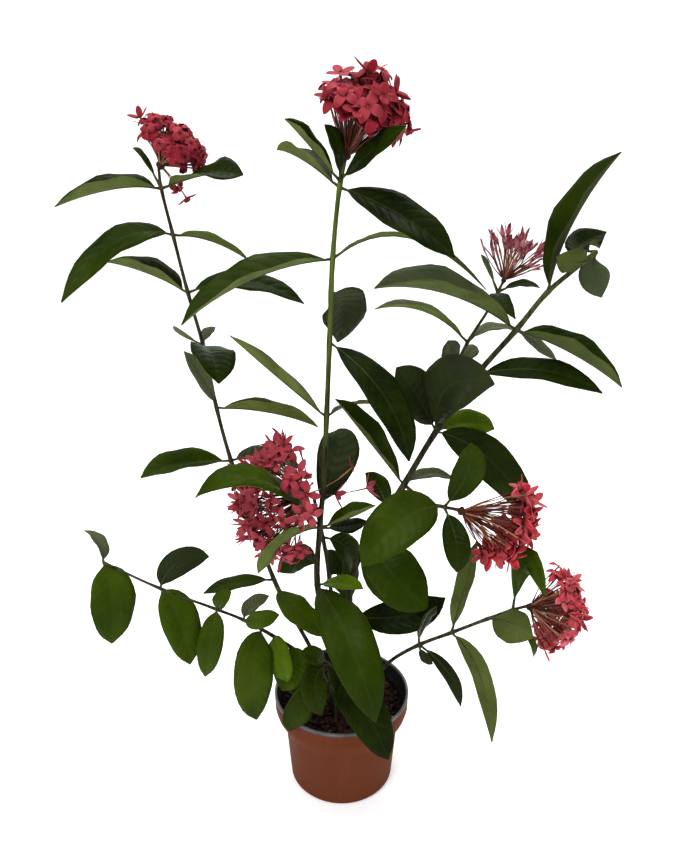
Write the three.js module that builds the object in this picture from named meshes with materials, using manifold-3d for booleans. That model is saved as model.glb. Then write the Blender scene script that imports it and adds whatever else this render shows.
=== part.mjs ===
import * as THREE from "three";
import { mergeVertices } from "three/addons/utils/BufferGeometryUtils.js";
import Module from "manifold-3d";

// Ixora in a nursery pot. Millimetres, +Z up, the foot of the pot centred on the origin.
const wasm = await Module();
wasm.setup();

const vec = (p) => new THREE.Vector3(p[0], p[1], p[2]);

// A closed mesh, given as corner points and triangles, as a solid that can be joined and cut.
function solid(points, triangles) {
  return new wasm.Manifold(
    new wasm.Mesh({
      numProp: 3,
      vertProperties: new Float32Array(points.flatMap((p) => [p.x, p.y, p.z])),
      triVerts: new Uint32Array(triangles.flat()),
    }),
  );
}

// A closed three.js geometry as the same kind of solid.
function solidOf(geometry) {
  const g = geometry.clone();
  g.deleteAttribute("normal");
  if (g.getAttribute("uv")) g.deleteAttribute("uv");
  const m = mergeVertices(g, 1e-4);
  return new wasm.Manifold(
    new wasm.Mesh({
      numProp: 3,
      vertProperties: m.attributes.position.array,
      triVerts: new Uint32Array(m.index.array),
    }),
  );
}

const plant = new THREE.Group();
const terracotta = 0x9a4a30;
const bark = 0x33241b;
const green = 0x2f5a1c;
const crimson = 0xc22a48;
const rose = 0xb8405a;

function add(name, shape, colour, roughness) {
  // A pocket closed off between crossing parts is filled, so that each node is one plain body.
  const whole = shape.simplify(0.3).decompose().filter((b) => b.volume() > 0);
  const out = wasm.Manifold.union(whole).getMesh();
  const g = new THREE.BufferGeometry();
  const xyz = new Float32Array(out.numVert * 3);
  for (let i = 0; i < out.numVert; i++)
    for (let k = 0; k < 3; k++)
      xyz[i * 3 + k] = out.vertProperties[i * out.numProp + k];
  g.setAttribute("position", new THREE.BufferAttribute(xyz, 3));
  g.setIndex(Array.from(out.triVerts));
  g.computeVertexNormals();
  const mesh = new THREE.Mesh(
    g,
    new THREE.MeshStandardMaterial({ color: colour, roughness, metalness: 0 }),
  );
  mesh.name = name;
  plant.add(mesh);
}

// Repeatable draws, so that every run grows the same plant.
function draws(seed) {
  let s = seed;
  return () => {
    s = (s * 1664525 + 1013904223) % 4294967296;
    return s / 4294967296;
  };
}

// A closed skin over rings of the same number of points, all turning the same way round.
function loft(rings) {
  const n = rings[0].length;
  const points = rings.flat();
  const tris = [];
  for (let i = 1; i < n - 1; i++) tris.push([0, i + 1, i]);
  for (let r = 0; r + 1 < rings.length; r++)
    for (let i = 0; i < n; i++) {
      const a = r * n + i;
      const b = r * n + ((i + 1) % n);
      tris.push([a, b, b + n], [a, b + n, a + n]);
    }
  const last = (rings.length - 1) * n;
  for (let i = 1; i < n - 1; i++) tris.push([last, last + i, last + i + 1]);
  return solid(points, tris);
}

// Two directions square to d, the first as near to `up` as it can be.
function across(d, up) {
  const n = up.clone().addScaledVector(d, -up.dot(d)).normalize();
  return [n, new THREE.Vector3().crossVectors(d, n)];
}

// A round stalk along a curve, thinning from r0 to r1.
function stalk(curve, steps, r0, r1, sides) {
  const rings = [];
  let hint = new THREE.Vector3(0.3, 1, 0.2);
  for (let i = 0; i <= steps; i++) {
    const t = i / steps;
    const d = curve.getTangent(t);
    const [n, s] = across(d, hint);
    hint = n;
    const r = r0 + (r1 - r0) * t;
    const c = curve.getPoint(t);
    rings.push(
      Array.from({ length: sides }, (_, k) => {
        const a = (k / sides) * Math.PI * 2;
        return c
          .clone()
          .addScaledVector(n, r * Math.cos(a))
          .addScaledVector(s, r * Math.sin(a));
      }),
    );
  }
  return loft(rings);
}

// A leaf: a short petiole, then a folded blade that is widest in the middle and ends in a point. Its midrib
// starts inside the stem and runs through `mid` to `tip`. Its upper face looks towards `face`, and turns about
// the midrib by `twist` degrees from base to tip.
const stations = [0, 0.14, 0.42, 0.78, 1];
const bladeThickness = 0.9;
const petiole = { length: 7, half: 1.1, thickness: 1.6 };
const degree = Math.PI / 180;

// Half the width of a blade from its base (0) to its tip (1), as a share of its greatest half width.
// Both ends are blunter where `taper` is smaller.
const outline = (u, taper) => Math.pow(4 * u * (1 - u), taper);

function leaf(from, bareLength, taper, mid, tip, width, face, fold, twist) {
  const b = from.clone();
  const m = vec(mid);
  const e = vec(tip);
  const c = m
    .clone()
    .multiplyScalar(2)
    .addScaledVector(b, -0.5)
    .addScaledVector(e, -0.5);
  const rib = new THREE.QuadraticBezierCurve3(b, c, e);
  const stem = Math.min(stations[1], bareLength / rib.getLength());
  const rows = [[0, petiole.half, petiole.thickness]];
  for (const u of stations) {
    const least = u > 0.5 ? 0.7 : petiole.half;
    const thick = u > 0 ? bladeThickness : petiole.thickness;
    rows.push([stem + (1 - stem) * u, Math.max((outline(u, taper) * width) / 2, least), thick]);
  }
  const lift = Math.tan(fold * degree);
  const slant = Math.cos(fold * degree);
  const points = [];
  for (const [t, half, thick] of rows) {
    const d = rib.getTangent(t);
    const [n, s] = across(d, vec(face).applyAxisAngle(d, twist * degree * (t - 0.5)));
    for (const side of [1, -1])
      for (const k of [-1, 0, 1]) {
        const rise = Math.abs(k) * half * lift + (side * thick) / 2 / slant;
        points.push(rib.getPoint(t).addScaledVector(s, -k * half).addScaledVector(n, rise));
      }
  }
  // Each row holds three points of the upper face and three of the lower one, and both faces are split alike.
  const tris = [];
  for (let r = 0; r + 1 < rows.length; r++) {
    const a = r * 6;
    const d = a + 6;
    tris.push([a, d, a + 1], [a + 1, d, d + 1], [a + 1, d + 1, d + 2], [a + 1, d + 2, a + 2]);
    tris.push([a + 3, a + 4, d + 3], [a + 4, d + 4, d + 3]);
    tris.push([a + 4, d + 5, d + 4], [a + 4, a + 5, d + 5]);
    tris.push([a, a + 3, d], [d, a + 3, d + 3], [a + 2, d + 2, a + 5], [d + 2, d + 5, a + 5]);
  }
  const z = (rows.length - 1) * 6;
  tris.push([0, 1, 4], [0, 4, 3], [1, 2, 5], [1, 5, 4]);
  tris.push([z, z + 4, z + 1], [z, z + 3, z + 4], [z + 1, z + 5, z + 2], [z + 1, z + 4, z + 5]);
  return solid(points, tris);
}

// A stem with its leaves. A leaf is [place along the stem's points, mid, tip, width, face, fold, twist].
function leafyStem({ points, radii, steps, leaves, bareLength = petiole.length, taper = 0.6 }) {
  const curve = new THREE.CatmullRomCurve3(points.map(vec));
  const parts = [stalk(curve, steps, radii[0], radii[1], 5)];
  for (const [at, mid, tip, width, face, fold = 14, twist = 0] of leaves) {
    const from = curve.getPoint(at / (points.length - 1));
    parts.push(leaf(from, bareLength, taper, mid, tip, width, face, fold, twist));
  }
  return parts;
}

// Sizes of the flowers: the radius of a tube, the notch between petals, how far a petal's tip turns up.
const tubeRadius = 0.8;
const notch = 0.45;
const upturn = 0.16;
const petalThickness = 0.9;
const knotRadius = 6;
const rootDepth = 4.4;
const goldenAngle = Math.PI * (3 - Math.sqrt(5));

// A floret: a thin three-sided tube that opens into a flat cross of four petals.
function floret(from, towards, length, size, spin) {
  const d = towards.clone().normalize();
  const [n, s] = across(d, new THREE.Vector3(0.21, 0.34, 0.92));
  const at = (along, r, a) =>
    from
      .clone()
      .addScaledVector(d, along)
      .addScaledVector(n, r * Math.cos(spin + a))
      .addScaledVector(s, r * Math.sin(spin + a));
  const points = [];
  for (const along of [0, length - 2])
    for (let k = 0; k < 3; k++) points.push(at(along, tubeRadius, (k * Math.PI) / 1.5));
  for (const up of [0, petalThickness])
    for (let k = 0; k < 8; k++) {
      const tipped = k % 2;
      const rise = length + up + tipped * size * upturn;
      points.push(at(rise, tipped ? size : size * notch, (k * Math.PI) / 4));
    }
  points.push(at(length + petalThickness, 0, 0));
  const tris = [[0, 2, 1]];
  for (let k = 0; k < 3; k++) {
    const l = (k + 1) % 3;
    tris.push([k, l, l + 3], [k, l + 3, k + 3]);
  }
  // Rim points 0 to 2 hang on the first corner of the tube, 3 to 5 on the next, 6 and 7 on the last.
  const corner = [3, 3, 3, 4, 4, 4, 5, 5];
  for (let k = 0; k < 8; k++) {
    const l = (k + 1) % 8;
    tris.push([corner[k], 6 + l, 6 + k]);
    if (corner[l] !== corner[k]) tris.push([corner[k], corner[l], 6 + l]);
    tris.push([6 + k, 6 + l, 14 + l], [6 + k, 14 + l, 14 + k], [22, 14 + k, 14 + l]);
  }
  return solid(points, tris);
}

// A closed bud on its tube.
function bud(from, towards, length, size) {
  const d = towards.clone().normalize();
  const [n, s] = across(d, new THREE.Vector3(0.21, 0.34, 0.92));
  const ring = (along, r) =>
    Array.from({ length: 4 }, (_, k) => {
      const a = (k * Math.PI) / 2;
      return from
        .clone()
        .addScaledVector(d, along)
        .addScaledVector(n, r * Math.cos(a))
        .addScaledVector(s, r * Math.sin(a));
    });
  return loft([
    ring(0, tubeRadius),
    ring(length - size, tubeRadius),
    ring(length + size * 0.2, size * 0.34),
    ring(length + size, 0.5),
  ]);
}

// A floret that stays clear of the leaves: it is grown shorter where a leaf is in its way, and left out where
// even the shortest one has no room.
const room = { clearance: 0.8, shares: [1, 0.82, 0.64, 0.46] };

function fitted(grow, leaves) {
  for (const share of room.shares) {
    const shape = grow(share);
    if (shape.minGap(leaves, room.clearance) >= room.clearance) return [shape];
  }
  return [];
}

// A flower head: a neck from just off the tip of its stem to a knot, and florets spread evenly over a cap
// round the axis, shorter towards its rim by the share `flat`, with a few strays outside it. A head whose
// `depth` is under 1 is flattened to a fan from front to back.
function bloom(stem, head, leaves) {
  const { axis, neck, reach, spread, flat = 0, depth = 1, count, size } = head;
  const { buds = 0, strays = [], seed } = head;
  const curve = new THREE.CatmullRomCurve3(stem.points.map(vec));
  const up = curve.getTangent(1);
  const d = vec(axis).normalize();
  const start = curve.getPoint(1).addScaledVector(up, 0.5);
  const knot = start.clone().addScaledVector(up, neck * 0.3).addScaledVector(d, neck * 0.7);
  const elbow = start.clone().addScaledVector(up, neck * 0.4);
  const bend = new THREE.QuadraticBezierCurve3(start, elbow, knot);
  const [n, s] = across(d, new THREE.Vector3(0.1, 0.9, 0.3));
  const rand = draws(seed);
  const parts = [
    stalk(bend, 2, stem.radii[1], 1.7, 5),
    solidOf(new THREE.IcosahedronGeometry(knotRadius, 0)).translate(knot.x, knot.y, knot.z),
  ];
  const edge = Math.cos(spread * degree);
  for (let i = 0; i < count; i++) {
    const [high, round, long, large, spin] = Array.from({ length: 5 }, rand);
    const h = 1 - ((i + 0.5) / count) * (1 - edge) - (high - 0.5) * 0.04;
    const a = i * goldenAngle + (round - 0.5) * 0.5;
    const r = Math.sqrt(Math.max(0, 1 - h * h));
    const out = d.clone().multiplyScalar(h);
    out.addScaledVector(n, depth * r * Math.cos(a)).addScaledVector(s, r * Math.sin(a)).normalize();
    const length = reach * (0.88 + 0.2 * long) * (1 - (flat * (1 - h)) / (1 - edge));
    const from = knot.clone().addScaledVector(out, rootDepth);
    const grow =
      i >= count - buds
        ? (share) => bud(from, out, length * share, size * 0.75)
        : (share) => floret(from, out, length * share, size * (0.9 + 0.2 * large), spin * 1.5);
    parts.push(...fitted(grow, leaves));
  }
  for (const [towards, long] of strays) {
    const out = vec(towards).normalize();
    const from = knot.clone().addScaledVector(out, rootDepth);
    const spin = rand() * 1.5;
    parts.push(...fitted((share) => floret(from, out, long * share, size, spin), leaves));
  }
  return wasm.Manifold.union(parts);
}

// Pot: a tapered shell with a wide collar turned out under its lip. It stands on a ring and on a flat pad
// in the middle, with six drain holes in the channel between them.
const potSides = 28;
const turned = (profile) => {
  const g = new THREE.LatheGeometry(
    profile.map(([r, z]) => new THREE.Vector2(r, z)),
    potSides,
  );
  g.rotateX(Math.PI / 2);
  return solidOf(g);
};
let pot = turned([
  [0, 0], [15, 0], [17, 2.5], [44, 2.5], [46, 0], [52, 0], [54, 2.5], [59, 62], [63, 70],
  [67.6, 78], [69.4, 84], [70, 100], [67.8, 100], [67.2, 84.8],
  [65.2, 79.4], [60.8, 71.6], [57, 63], [52, 4.8], [0, 4.8],
]);
const drains = { count: 6, radius: 4.5, circle: 28 };
for (let k = 0; k < drains.count; k++) {
  const a = (k / drains.count) * Math.PI * 2;
  const hole = new THREE.CylinderGeometry(drains.radius, drains.radius, 10, 8);
  hole.rotateX(Math.PI / 2);
  hole.translate(drains.circle * Math.cos(a), drains.circle * Math.sin(a), 3);
  pot = pot.subtract(solidOf(hole));
}
add("pot", pot, terracotta, 0.55);

const stems = {
  left_stem: {
    points: [
      [-16, -2, 62], [-16, -2, 80], [-17, -2, 96], [-27, -2, 138], [-65, 2, 219], [-88, 8, 289],
      [-107, 14, 349], [-119, 18, 401], [-129, 22, 460], [-141, 26, 508], [-152, 30, 559],
      [-161, 34, 602], [-162, 36, 614],
    ],
    radii: [2.4, 1.3],
    steps: 13,
    leaves: [
      [10.9, [-201, 30, 598], [-251, 18, 583], 29, [-0.1, -0.2, 1], 41],
      [10.9, [-117, 12, 609], [-83, 2, 609], 33, [-0.2, -0.3, 0.9], 22, 75],
      [10.9, [-176, 40, 626], [-186, 44, 633], 8, [0.6, -0.5, 0.6], 8],
      [10, [-197, 10, 554], [-243, -12, 504], 32, [-0.1, -0.7, 0.7], 7],
      [10, [-121, 45, 553], [-87, 55, 534], 17, [0.4, 0, 0.9], 39],
      [9, [-178, 40, 523], [-220, 48, 534], 27, [0.3, -0.1, 0.9], 45],
      [9, [-90, 44, 516], [-36, 50, 495], 30, [0.2, -0.6, 1]],
      [8, [-115, -16, 458], [-105, -42, 439], 40, [0.3, -0.2, 0.9], 18],
      [8, [-129, 42, 468], [-122, 52, 472], 12, [0, -0.4, 0.9], 8],
      [8, [-154, 48, 467], [-166, 66, 471], 5, [-0.4, -0.6, 0.7], 8],
      [7, [-128, 6, 433], [-141, -6, 460], 16, [0.8, -0.7, 0], 6],
      [7, [-70, 30, 392], [-23, 38, 375], 26, [0.2, 0.2, 1], 46],
      [6, [-151, 0, 349], [-188, -12, 341], 30, [0, -0.4, 0.9], 34],
      [6, [-76, 45, 342], [-42, 70, 320], 28, [0, -0.5, 1]],
      [4.1, [-102, -8, 229], [-134, -22, 225], 18, [0.1, -0.3, 0.9], 10],
      [4, [-45, -20, 206], [-12, -26, 180], 32, [0.4, -0.4, 0.8], 8],
    ],
    head: {
      name: "bloom_left", axis: [0.6, -0.1, 0.8], neck: 9, reach: 35, spread: 62,
      count: 16, size: 10, seed: 3,
      strays: [[[0.4, 0.55, -0.75], 26], [[0.5, 0.4, -0.77], 36]],
    },
  },
  centre_stem: {
    points: [
      [2, 0, 62], [2, 0, 80], [1, 0, 96], [-6, -2, 130], [-24, -6, 225], [-21, -6, 288],
      [-17, -5, 334], [-14, -3, 398], [-11, 0, 467], [-8, 2, 540], [-2, 4, 599], [2, 4.6, 619],
    ],
    radii: [3.4, 1.9],
    steps: 14,
    leaves: [
      [10.2, [-27, -8, 631], [-46, -18, 650], 23, [0.7, -0.2, 0.6], 36],
      [10, [-34, 30, 622], [-58, 48, 632], 24, [0.4, -0.1, 0.9], 40],
      [10.1, [-4, -12, 630], [-14, -16, 646], 16, [0.7, -0.7, 0.1], 8],
      [10.3, [22, -26, 624], [49, -46, 642], 24, [-0.8, -0.5, 0.4], 10],
      [10, [49, -16, 576], [93, -30, 543], 35, [0.1, -0.9, 0.7]],
      [9, [-74, -22, 525], [-133, -44, 489], 36, [-0.2, -0.3, 0.9], 36],
      [9, [55, 4, 558], [122, -22, 516], 19, [0.2, 0.2, 1], 20, -40],
      [8.6, [0, 30, 496], [-4, 38, 460], 49, [0.5, -0.7, -0.5], 12],
      [8, [36, -34, 427], [58, -54, 373], 34, [0.3, -0.9, 0.6]],
      [7, [-65, 22, 433], [-107, 40, 466], 18, [0.6, 0.1, 0.8], 49],
      [7, [14, 24, 403], [50, 44, 393], 22, [0, 0.4, 1]],
      [5, [-47, -74, 308], [-71, -92, 286], 30, [-0.3, 0.8, 0.6]],
      [5, [9, -2, 296], [33, 6, 305], 19, [-0.3, -0.1, 1], 50],
      [4.3, [-42, 26, 238], [-68, 40, 214], 30, [-0.3, -0.8, 0.6]],
      [4, [-1, -28, 240], [20, -44, 243], 18, [0, -0.5, 1]],
      [4, [6, -80, 212], [30, -108, 147], 46, [0.3, -1, 0.5]],
    ],
    head: {
      name: "bloom_top", axis: [0.4, -0.25, 0.88], neck: 9, reach: 62, spread: 46,
      count: 16, size: 12.5, flat: 0.22, seed: 5,
    },
  },
  middle_stem: {
    points: [
      [10, 16, 62], [10, 16, 80], [9, 16, 96], [4, 14, 130], [-11, 12, 210], [-17, 12, 258],
      [-27, 9, 312],
    ],
    radii: [2.4, 1.6],
    steps: 8,
    leaves: [
      [5.4, [-73, -62, 361], [-125, -70, 346], 26, [0.5, -0.3, 0.8], 6, -25],
      [5.7, [-4, 34, 348], [-4, 52, 369], 42, [0.2, -0.8, 0.5], 8],
      [4.2, [-2, 38, 220], [9, 46, 176], 36, [0.2, -1, 0.4]],
      [5.4, [5, 22, 275], [25, 26, 280], 20, [0.2, -0.3, 0.9], 8],
      [5.2, [6, 28, 247], [11, 28, 217], 30, [0.8, -0.6, 0.2], 8],
      [5, [-9, 26, 236], [-1, 24, 219], 18, [0.7, -0.7, 0.1], 6],
    ],
    head: {
      name: "bloom_middle", axis: [-0.85, -0.45, 0.05], neck: 12, reach: 64, spread: 74,
      count: 31, size: 13, seed: 11,
      strays: [[[0.86, 0.11, 0.5], 52], [[0.99, 0.13, 0.07], 60], [[0.99, 0.1, 0], 29]],
    },
  },
  right_stem: {
    points: [
      [18, 4, 62], [18, 4, 80], [17, 4, 96], [12, 5, 140], [11, 10, 227], [60, 4, 328],
      [88, 0, 383], [122, -2, 437], [155, -4, 479], [179, -6, 512], [199, -8, 531],
      [216, -12, 547],
    ],
    radii: [3.7, 1.9],
    steps: 12,
    leaves: [
      [9, [191, -22, 570], [219, -36, 624], 36, [-0.9, -0.1, 0.3], 38],
      [10.6, [195, -26, 539], [177, -30, 544], 26, [-0.4, 0.7, 0.6], 5],
      [11, [211, 12, 550], [235, 22, 562], 30, [-0.3, -0.8, 0.5]],
      [11, [219, -2, 529], [226, -8, 508], 26, [-0.4, -0.8, 0.4]],
      [8, [88, -34, 513], [26, -52, 520], 37, [0.4, -0.2, 0.9], 43],
      [8, [201, -14, 460], [245, -28, 432], 35, [0.4, -0.2, 0.9], 43],
      [8, [182, 22, 461], [204, 32, 445], 12, [0.7, -0.7, 0.2], 8],
      [7, [174, -22, 446], [227, -32, 428], 27, [-0.1, -0.6, 0.8], 13],
      [6, [67, -14, 422], [48, -18, 448], 40, [0.6, -0.8, 0.1], 8],
      [6, [93, -30, 433], [129, -48, 440], 52, [-0.8, -0.6, 0.1], 15],
      [6, [123, 30, 383], [152, 42, 372], 26, [0, -0.8, 0.7]],
      [6, [144, 20, 348], [193, 24, 284], 40, [0.3, -0.9, 0.1], 8],
      [5, [24, -12, 378], [-6, -22, 420], 30, [0.8, -0.3, 0.5], 40],
      [5, [85, 20, 333], [113, 30, 323], 16, [0, -0.4, 1]],
      [4.4, [48, -24, 248], [82, -40, 219], 55, [0, -0.7, 0.7], 8],
      [3.5, [61, -4, 189], [103, -8, 212], 36, [0, -0.9, 0.5]],
      [4.7, [38, 30, 313], [24, 38, 327], 24, [0.1, -0.6, 0.8], 8],
    ],
  },
  right_stem_branch: {
    of: "right_stem",
    points: [[88, 0, 383], [107, 20, 440], [117, 22, 463], [135, 26, 492], [147, 30, 515]],
    radii: [1.6, 1.2],
    steps: 6,
    leaves: [
      [2, [75, 8, 493], [29, -4, 497], 15, [0.4, -0.1, 0.9], 42],
      [2, [139, 30, 475], [166, 36, 471], 16, [0, -0.3, 1]],
      [1, [100, 10, 456], [95, -2, 469], 20, [0.4, -0.8, -0.4], 7],
      [1, [121, 32, 451], [130, 40, 455], 14, [0.2, -0.7, 0.7], 8],
      [3.7, [162, 24, 516], [180, 22, 513], 12, [0, -0.5, 1]],
      [3.7, [135, 40, 531], [129, 44, 541], 6, [0, -0.5, 1]],
      [3.6, [139, 0, 507], [151, -14, 490], 16, [-0.1, -0.4, 0.9], 8],
    ],
    head: {
      name: "bloom_young", axis: [0.3, -0.1, 0.95], neck: 7, reach: 33, spread: 54,
      count: 15, size: 12, buds: 15, seed: 7,
    },
  },
  right_stem_twig: {
    of: "right_stem",
    points: [[60, 4, 328], [78, -23, 322], [92, -42, 325], [98, -50, 327]],
    radii: [1.8, 1.5],
    steps: 5,
    leaves: [
      [1.9, [52, -74, 327], [17, -88, 290], 46, [-0.1, -0.9, 0.7]],
      [2, [107, -62, 364], [109, -60, 392], 28, [0, -1, -0.1]],
      [2, [100, -66, 304], [101, -72, 276], 24, [0, -1, -0.1]],
    ],
    head: {
      name: "bloom_right", axis: [0.94, 0.03, -0.32], neck: 9, reach: 64, spread: 50,
      count: 16, size: 12, flat: 0.1, depth: 0.35, seed: 13,
    },
  },
  low_right_stem: {
    points: [
      [28, -16, 62], [28, -16, 80], [29, -16, 94], [34, -17, 122], [48, -20, 146], [76, -30, 173],
      [106, -35, 190], [139, -38, 207], [162, -41, 219], [171, -42, 222.5],
    ],
    radii: [2.2, 1.4],
    steps: 12,
    leaves: [
      [5, [78, -36, 202], [90, -40, 222], 20, [0.7, -0.6, 0.3]],
      [5, [104, -42, 149], [117, -46, 114], 14, [0.3, -0.8, 0.5], 8],
      [6, [117, -30, 236], [128, -22, 281], 22, [-0.3, 0.8, 0.3]],
      [6, [134, -46, 150], [150, -48, 73], 21, [0.5, 0.8, -0.2]],
      [7, [154, -62, 219], [174, -72, 209], 36, [0, 0.6, -0.8]],
      [8, [177, -58, 197], [182, -52, 175], 8, [0.4, -0.8, 0.4], 8],
      [8, [167, -54, 278], [183, -66, 247], 26, [-0.8, -0.5, 0.2], 8],
      [5, [80, -38, 165], [88, -44, 161], 12, [0.4, -0.4, 0.8], 8],
    ],
    head: {
      name: "bloom_low_right", axis: [0.99, -0.02, -0.08], neck: 6, reach: 46, spread: 70,
      count: 18, size: 11, depth: 0.5, seed: 17,
    },
  },
  low_left_stem: {
    points: [
      [-6, -18, 62], [-6, -18, 80], [-8, -18, 95], [-22, -21, 138], [-60, -30, 178],
      [-94, -38, 206], [-118, -42, 220], [-169, -45, 244], [-219, -45, 271],
    ],
    radii: [2, 1.1],
    steps: 12,
    bareLength: 3,
    taper: 0.5,
    leaves: [
      [8, [-225, -38, 285], [-241, -26, 294], 16, [0.7, -0.1, 0.7], 35],
      [8, [-212, -52, 238], [-216, -54, 191], 42, [0.6, -0.8, 0.1], 8],
      [7, [-152, -42, 269], [-124, -34, 271], 25, [0.3, -1, 0.4]],
      [7, [-151, -52, 215], [-144, -54, 168], 36, [0.5, -0.8, 0.3], 8],
      [6, [-122, -56, 196], [-131, -52, 153], 24, [0, -1, 0.2]],
      [6, [-112, -52, 236], [-101, -56, 247], 15, [0, -0.8, 0.5]],
      [5, [-87, -28, 216], [-71, -18, 220], 16, [-0.1, -0.5, 0.9], 8],
      [5, [-76, -54, 216], [-57, -64, 228], 18, [-0.7, -0.5, 0.6], 8],
      [4.5, [-83, -64, 169], [-82, -60, 110], 32, [0.3, -0.9, 0.3], 8],
      [4.2, [-60, -52, 177], [-52, -56, 150], 24, [-0.3, -0.9, 0.4]],
      [3.8, [-49, -40, 157], [-58, -47, 133], 34, [0, -1, 0.4]],
    ],
  },
  basal_shoot: {
    points: [[-6, -34, 62], [-6, -34, 80], [-6, -34, 96], [-9, -35, 130], [-14, -38, 160]],
    radii: [2, 1.2],
    steps: 4,
    taper: 0.5,
    leaves: [
      [3.4, [19, -76, 137], [43, -92, 92], 38, [0.3, -1, 0.5]],
      [3.85, [-25, -60, 154], [-19, -66, 120], 30, [0.4, -0.7, 0.5], 6],
      [3.5, [-37, -56, 127], [-50, -62, 98], 30, [0.3, -0.9, 0.2], 8],
      [3.9, [-24, -50, 174], [-39, -54, 180], 18, [0.7, -0.5, 0.5], 8],
      [3.95, [-4, -50, 152], [2, -54, 125], 22, [0.5, -0.6, 0.6], 8],
    ],
  },
};

// Soil: bark mix to a little under the lip, with a plain hole round the foot of every stem.
let soil = turned([
  [0, 5.2], [51.6, 5.2], [56.4, 63.2], [60.2, 72], [64.4, 79.6], [64.8, 82], [0, 86],
]);
const holeDepth = 60;
const clearance = { around: 0.6, below: 0.3 };
for (const { points, radii, of } of Object.values(stems)) {
  if (of) continue;
  const [x, y, z] = points[0];
  const r = radii[0] + clearance.around;
  const hole = new THREE.CylinderGeometry(r, r, holeDepth, 8);
  hole.rotateX(Math.PI / 2);
  hole.translate(x, y, z - clearance.below + holeDepth / 2);
  soil = soil.subtract(solidOf(hole));
}
add("soil", soil, bark, 0.95);

const shoots = [];
for (const [name, stem] of Object.entries(stems)) {
  if (stem.of) continue;
  const side = Object.values(stems).filter((other) => other.of === name);
  const shoot = wasm.Manifold.union([stem, ...side].flatMap(leafyStem));
  add(name, shoot, green, 0.4);
  shoots.push(shoot);
}

const foliage = wasm.Manifold.union(shoots);
for (const stem of Object.values(stems)) {
  if (!stem.head) continue;
  add(stem.head.name, bloom(stem, stem.head, foliage), stem.head.buds ? rose : crimson, 0.6);
}

export default plant;
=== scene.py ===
import math
import random

import bmesh
import bpy
from mathutils import Matrix, Vector, noise
from mathutils.bvhtree import BVHTree


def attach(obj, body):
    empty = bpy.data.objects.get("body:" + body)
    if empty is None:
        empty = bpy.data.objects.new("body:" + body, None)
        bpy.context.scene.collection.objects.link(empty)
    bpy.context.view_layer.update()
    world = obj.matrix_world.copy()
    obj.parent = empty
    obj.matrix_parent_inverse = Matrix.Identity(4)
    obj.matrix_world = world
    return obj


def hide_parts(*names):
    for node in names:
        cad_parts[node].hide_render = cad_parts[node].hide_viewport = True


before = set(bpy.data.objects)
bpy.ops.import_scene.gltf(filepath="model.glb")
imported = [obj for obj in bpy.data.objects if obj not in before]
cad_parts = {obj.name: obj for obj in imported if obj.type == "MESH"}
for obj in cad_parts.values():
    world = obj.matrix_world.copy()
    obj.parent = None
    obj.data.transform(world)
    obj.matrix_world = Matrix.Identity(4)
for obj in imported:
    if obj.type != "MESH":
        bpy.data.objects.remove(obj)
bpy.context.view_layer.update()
mm = 0.001  # every length of the plant and its pot is typed in millimetres


def meshFrom(bm, name):
    mesh = bpy.data.meshes.new(name)
    bm.to_mesh(mesh)
    bm.free()
    return mesh


def addObject(name, data):
    thing = bpy.data.objects.new(name, data)
    bpy.context.scene.collection.objects.link(thing)
    return thing


def finishPiece(name, bm, materials, nodes):
    # turns a bmesh into a shown piece that rides on the pot and stands for the named CAD nodes
    bmesh.ops.scale(bm, vec=(mm, mm, mm), verts=bm.verts)
    mesh = meshFrom(bm, name)
    mesh.shade_smooth()
    for material in materials:
        mesh.materials.append(material)
    piece = addObject(name, mesh)
    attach(piece, "root")
    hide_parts(*nodes)
    return piece


def thicken(piece, thickness):
    body = piece.modifiers.new("thickness", "SOLIDIFY")
    body.thickness = thickness * mm
    body.offset = 0
    return body


def newShape(*values, uv=None):
    # an empty shape: its points will carry these values, and its corners a map, for a material to read
    bm = bmesh.new()
    if uv:
        bm.loops.layers.uv.new(uv)
    for name in values:
        bm.verts.layers.float.new(name)
    return bm


def joinInto(target, bm, slotNumber=0):
    # moves a small shape into a bigger one, and gives its points there
    for face in bm.faces:
        face.material_index = slotNumber
    mesh = meshFrom(bm, "shape")
    older = len(target.verts)
    target.from_mesh(mesh)
    bpy.data.meshes.remove(mesh)
    target.verts.ensure_lookup_table()
    return target.verts[older:]


def writeShade(target, verts, shade):
    layer = target.verts.layers.float["shade"]
    for vert in verts:
        vert[layer] = shade


def placeCopy(target, mesh, matrix, shade):
    bm = bmesh.new()
    bm.from_mesh(mesh)
    bmesh.ops.transform(bm, matrix=matrix, verts=bm.verts)
    writeShade(target, joinInto(target, bm), shade)


def extrudeRow(bm, edges):
    # the points of a new row, and the edges between them
    grown = bmesh.ops.extrude_edge_only(bm, edges=edges)["geom"]
    verts = [g for g in grown if isinstance(g, bmesh.types.BMVert)]
    lines = [g for g in grown if isinstance(g, bmesh.types.BMEdge)]
    return verts, [line for line in lines if all(v in verts for v in line.verts)]


def squareTo(direction, up):
    normal = (up - direction * up.dot(direction)).normalized()
    return normal, direction.cross(normal)


def frameAt(centre, direction, up, scale=1.0):
    # a matrix whose Z looks along direction
    normal, side = squareTo(direction, up)
    turn = Matrix((normal, side, direction)).transposed().to_4x4()
    return Matrix.Translation(centre) @ turn @ Matrix.Scale(scale, 4)


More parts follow.
